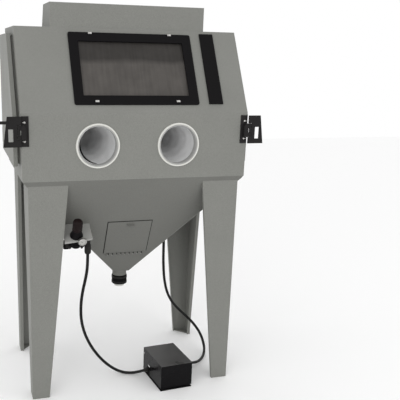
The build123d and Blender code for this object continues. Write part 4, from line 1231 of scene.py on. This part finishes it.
@dataclass
class Hardware:
    """Bolts, screws, nuts, bands and weld beads."""

    bolt_levels: tuple = (1262.0, 1344.0)
    bolt_x: float = 519.0
    bolt_out: float = 4.0
    pin_length: float = 14.0
    clip_u: float = 191.0
    clip_levels: tuple = (53.0, 393.5)
    hinge_x: float = 510.0
    hinge_levels: tuple = (1215.0, 1640.0)
    hinge_pitch: float = 28.0
    collar_middle: tuple = (300.0, 1560.0)
    collar_circle: float = 58.0
    valve_height: float = 43.0
    valve_half_width: float = 88.0
    barrel_pitch: float = 22.0
    barrel_count: int = 9
    band_levels: tuple = (460.0, 488.0)
    outlet_half: float = 39.5

    def dome(
        self, name: str, radius: float, height: float, base: np.ndarray, direction: Sequence[float]
    ) -> bpy.types.Object:
        """A round head: a quarter ellipse turned about its axis, with a round socket sunk in its top.

        Args:
            name: The piece's name.
            radius: Radius in millimetres.
            height: Height in millimetres.
            base: The middle of its lower face.
            direction: Its axis.

        Returns:
            The piece.
        """
        swing = np.linspace(0, math.pi / 2, 9)
        arc = np.stack([radius * np.cos(swing), height * np.sin(swing)], -1)
        socket = np.array([
            [radius * 0.38, height * 0.96], [radius * 0.36, height * 0.4], [0, height * 0.35],
        ])
        profile = np.concatenate([[[0.0, 0.0]], arc[:-2], socket])
        return turned(name, profile, base, direction, 32)

    def latch_heads(self, shop: FinishShop) -> None:
        """Bright bolt heads on the latch bases, each with a short bright pin beside it.

        Args:
            shop: The finishes, which dress and mount each piece.
        """
        pin_inset, pin_out = 3.0, 6.2
        heads = []
        for side in (-1, 1):
            for z in self.bolt_levels:
                base = place(side * self.bolt_x, -self.bolt_out, z)
                heads.append(self.dome(f"head_{side}_{z}", 5.4, 4.4, base, FORWARD))
                pin = place(side * (self.bolt_x - pin_inset), -pin_out, z)
                end = pin + np.array([self.pin_length * MM * side, 0, 0])
                heads.append(bead(f"pin_{side}_{z}", pin, end, 1.9, 40))
        piece = joined("latch_heads", heads)
        shop.mount(piece, "bright_steel", Body.CABINET)
        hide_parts("latch_bolts")

    def window_heads(self, shop: FinishShop) -> None:
        """Screws on the four window clips.

        Args:
            shop: The finishes, which dress and mount each piece.
        """
        inset, rise = 3.5, 9.5
        heads = [
            self.dome(f"clip_head_{u}_{v}", 3.9, 2.6, SLOPE.at(u - inset, v, rise), SLOPE.out)
            for u in (-self.clip_u, self.clip_u) for v in self.clip_levels
        ]
        shop.mount(joined("window_screws", heads), "bright_steel", Body.CABINET)

    def hinge_heads(self, shop: FinishShop) -> None:
        """Screws in the fixed hinge leaves and round the exhaust collar's flange.

        Args:
            shop: The finishes, which dress and mount each piece.
        """
        heads = []
        for side in (-1, 1):
            for level in self.hinge_levels:
                for dz in (-self.hinge_pitch, 0, self.hinge_pitch):
                    base = place(side * self.hinge_x, BACK_FACE, level + dz)
                    heads.append(self.dome(f"leaf_{side}_{level}_{dz}", 4, 2.4, base, BACKWARD))
        x, z = self.collar_middle
        for k in range(8):
            across = self.collar_circle * math.cos(k * math.pi / 4)
            rise = self.collar_circle * math.sin(k * math.pi / 4)
            base = place(x + across, BACK_FACE, z + rise)
            heads.append(self.dome(f"collar_{k}", 3.2, 2, base, BACKWARD))
        shop.mount(joined("rear_screws", heads), "bright_steel", Body.CABINET)

    def nuts(self, shop: FinishShop) -> None:
        """Hexagon nuts at the hose ends and at the regulator's elbow.

        Args:
            shop: The finishes, which dress and mount each piece.
        """
        valve = valve_axis(self.valve_height)
        reach = self.valve_half_width * MM * PEDAL_SIDEWAYS
        nuts = [
            hex_piece("pedal_nut_left", 21, 8, valve - reach, -PEDAL_SIDEWAYS),
            hex_piece("pedal_nut_right", 21, 8, valve + reach, PEDAL_SIDEWAYS),
            hex_piece("hopper_nut", 27, 14, place(264, 388, 703), UPWARD),
            hex_piece("elbow_nut", 29, 42, place(-226, 64, 716), UPWARD),
        ]
        shop.mount(joined("fitting_nuts", nuts), "dark_fitting", Body.CABINET)

    def cleanout_gasket_painted_shadow(self, shop: FinishShop) -> None:
        """A thin black gasket round the clean-out plate, wider than the plate so that it shows as a
        dark line: painted shadow for the shadow gap round the plate.

        Its section is a flat rectangle, swept round two rectangular outlines on the hopper's face.

        Args:
            shop: The finishes, which dress and mount each piece.
        """
        bottom, top = 0.02, 0.38

        def outline(half_u: float, low: float, high: float, rise: float) -> list[np.ndarray]:
            """Corners of a rectangle on the face, at a height above it."""
            corners = ((-half_u, low), (half_u, low), (half_u, high), (-half_u, high))
            return [HOPPER_FACE.at(u, v, rise) for u, v in corners]

        inner, outer = (98.5, -462.5, -281.5), (114.6, -478.2, -262.2)
        rows = [
            outline(*inner, bottom), outline(*inner, top),
            outline(*outer, top), outline(*outer, bottom),
        ]
        # Painted shadow: the black rim stands out round the plate's edge.
        ring = grid_object("cleanout_gasket_painted_shadow", np.array(rows), True, True)
        shop.mount(ring, "seal_rubber", Body.CABINET)

    def cleanout_rivets(self, shop: FinishShop) -> None:
        """Rivets along the fixed leaf of the clean-out hinge, and black rings round its barrel as
        painted shadow for the gaps between its knuckles.

        Args:
            shop: The finishes, which dress and mount each piece.
        """
        barrel_level, barrel_rise, rivet_level, rivet_rise = -482.0, 4.5, -492.0, 2.0
        rim = [(4.02, 0), (4.5, 0.3), (4.5, 4.7), (4.02, 5)]
        # Black rings round the hinge barrel: painted shadow in the gaps between the knuckles.
        knuckle_shadows = []
        for k in range(self.barrel_count):
            base = HOPPER_FACE.at(-90 + self.barrel_pitch * k, barrel_level, barrel_rise)
            knuckle_shadows.append(turned(f"knuckle_shadow_{k}", rim, base, RIGHTWARD, 40, closed=True))
        shop.mount(joined("cleanout_knuckle_shadows", knuckle_shadows), "black_paint", Body.CABINET)
        heads = []
        for k in range(self.barrel_count):
            base = HOPPER_FACE.at(-88 + self.barrel_pitch * k, rivet_level, rivet_rise)
            heads.append(self.dome(f"rivet_{k}", 3.6, 2.2, base, HOPPER_FACE.out))
        shop.mount(joined("cleanout_rivets", heads), "dull_steel", Body.CABINET)

    def coupling_bands(self, shop: FinishShop) -> None:
        """Two worm-drive bands with their screw blocks round the rubber coupling.

        Args:
            shop: The finishes, which dress and mount each piece.
        """
        profile = [(40.2, 0), (41.0, 0.4), (41.0, 10.6), (40.2, 11.0), (39.2, 11.0), (39.2, 0)]
        worm = [(0, -9), (4.2, -9), (4.2, 6), (0, 6)]
        worm_circle, worm_turn, half_width = 43.5, 0.9, 5.5
        pieces = []
        for k, low in enumerate(self.band_levels):
            base = place(0, MID_DEPTH, low)
            pieces.append(turned(f"band_{k}", profile, base, UPWARD, 128, closed=True))
            x, y = math.cos(worm_turn + k), math.sin(worm_turn + k)
            head = place(worm_circle * x, MID_DEPTH + worm_circle * y, low + half_width)
            pieces.append(turned(f"worm_{k}", worm, head, (-y, x, 0), 24))
        shop.mount(joined("coupling_bands", pieces), "dark_fitting", Body.CABINET)

    def welds(self, shop: FinishShop) -> None:
        """Weld beads down the hopper's corners and round its outlet, where a ring swells in a sine.

        Args:
            shop: The finishes, which dress and mount each piece.
        """
        top_x, top_y, top_level, low_level = 527.0, 326.5, 1073, 534
        lines = []
        for k, (sx, sy) in enumerate([(-1, -1), (1, -1), (1, 1), (-1, 1)]):
            top = place(sx * top_x, MID_DEPTH + sy * top_y, top_level)
            low = place(sx * self.outlet_half, MID_DEPTH + sy * self.outlet_half, low_level)
            lines.append(bead(f"seam_{k}", top, low, 1.6))
        ring_radius, ring_level, bead_radius, ripples = 37.6, 532.4, 2.0, 33
        turn = np.linspace(0, 2 * np.pi, 97)
        swell = bead_radius * (1 + 0.1 * np.sin(ripples * turn))
        section = circle(10)
        radius = ring_radius + swell[:, None] * np.cos(section)
        x, y = radius * np.cos(turn)[:, None], radius * np.sin(turn)[:, None]
        points = np.stack([x, y, swell[:, None] * np.sin(section)], -1)
        lines.append(grid_object("outlet_bead", place(0, MID_DEPTH, ring_level) + points * MM))
        shop.mount(joined("weld_beads", lines), "cabinet_paint", Body.CABINET)

    def build(self, shop: FinishShop) -> None:
        """Builds all the small hardware.

        Args:
            shop: The finishes, which dress and mount each piece.
        """
        self.latch_heads(shop)
        self.window_heads(shop)
        self.hinge_heads(shop)
        self.nuts(shop)
        self.cleanout_gasket_painted_shadow(shop)
        self.cleanout_rivets(shop)
        self.coupling_bands(shop)
        self.welds(shop)


@dataclass
class Studio:
    """The floor, the lights and the camera."""

    camera: tuple = (-828.5, -2881.4, 1646.5)
    yaw: float = 0.284
    pitch: float = 0.266
    roll: float = 0.022
    lens: float = 58.88
    shift: tuple = (0.1507, 0.0775)

    def floor(self) -> None:
        """A plain pale floor."""
        edge = np.linspace(-9, 9, 2)
        points = np.stack(np.meshgrid(edge, edge, [-0.0005], indexing="ij"), -1)[:, :, 0]
        obj = grid_object("pale_floor", points, False)
        material = bpy.data.materials.new("floor_white")
        material.use_nodes = True
        shader = material.node_tree.nodes["Principled BSDF"]
        shader.inputs["Base Color"].default_value = (0.96, 0.96, 0.96, 1)
        shader.inputs["Roughness"].default_value = 0.9
        obj.data.materials.append(material)

    def light(self, name: str, where: tuple, target: tuple, size: float, power: float) -> None:
        """An area light turned towards a point.

        Args:
            name: Its name.
            where: Its place in metres.
            target: What it faces.
            size: Its side in metres.
            power: Watts.
        """
        data = bpy.data.lights.new(name, "AREA")
        data.shape = "SQUARE"
        data.size = size
        data.energy = power
        obj = bpy.data.objects.new(name, data)
        obj.location = where
        obj.rotation_euler = (Vector(target) - Vector(where)).to_track_quat("-Z", "Y").to_euler()
        bpy.context.scene.collection.objects.link(obj)

    def lights(self) -> None:
        """A soft key from the left and above, a weak fill, and an even white surround."""
        world = bpy.data.worlds.new("surround")
        world.use_nodes = True
        world.node_tree.nodes["Background"].inputs["Color"].default_value = (1, 1, 1, 1)
        world.node_tree.nodes["Background"].inputs["Strength"].default_value = 1.0
        bpy.context.scene.world = world
        self.light("key", (-3.0, -4.4, 2.5), (0, 0, 1.0), 2.2, 44)
        self.light("fill", (2.6, -3.6, 1.7), (0, 0, 0.9), 2.4, 8)

    def place_camera(self) -> None:
        """The camera: turned by its yaw, tilted down by its pitch, then rolled."""
        flat = math.cos(self.pitch)
        forward = Vector((math.sin(self.yaw) * flat, math.cos(self.yaw) * flat, -math.sin(self.pitch)))
        level = Vector((math.cos(self.yaw), -math.sin(self.yaw), 0))
        above = level.cross(forward)
        right = math.cos(self.roll) * level + math.sin(self.roll) * above
        up = -math.sin(self.roll) * level + math.cos(self.roll) * above
        data = bpy.data.cameras.new("view")
        data.sensor_width = 36.0
        data.lens = self.lens
        data.shift_x, data.shift_y = self.shift
        obj = bpy.data.objects.new("view", data)
        turn = Matrix((right, up, -forward)).transposed().to_4x4()
        obj.matrix_world = Matrix.Translation(Vector(place(*self.camera))) @ turn
        bpy.context.scene.collection.objects.link(obj)
        bpy.context.scene.camera = obj

    def build(self) -> None:
        """Sets the whole stage."""
        self.place_camera()
        self.floor()
        self.lights()
        bpy.context.scene.view_settings.view_transform = "Standard"


def write_sizes() -> None:
    """Updates the view layer."""
    bpy.context.view_layer.update()


def main() -> None:
    """Builds the stage, the cords and each sub-assembly in order."""
    Studio().build()
    shop = FinishShop()
    shop.dress_nodes()
    for assembly in (Hoses(), ArmPorts(), Outlet(), Regulator(), PedalSpring(), Hardware()):
        assembly.build(shop)
        log.info("built %s", type(assembly).__name__)
    write_sizes()


if __name__ == "__main__":
    main()
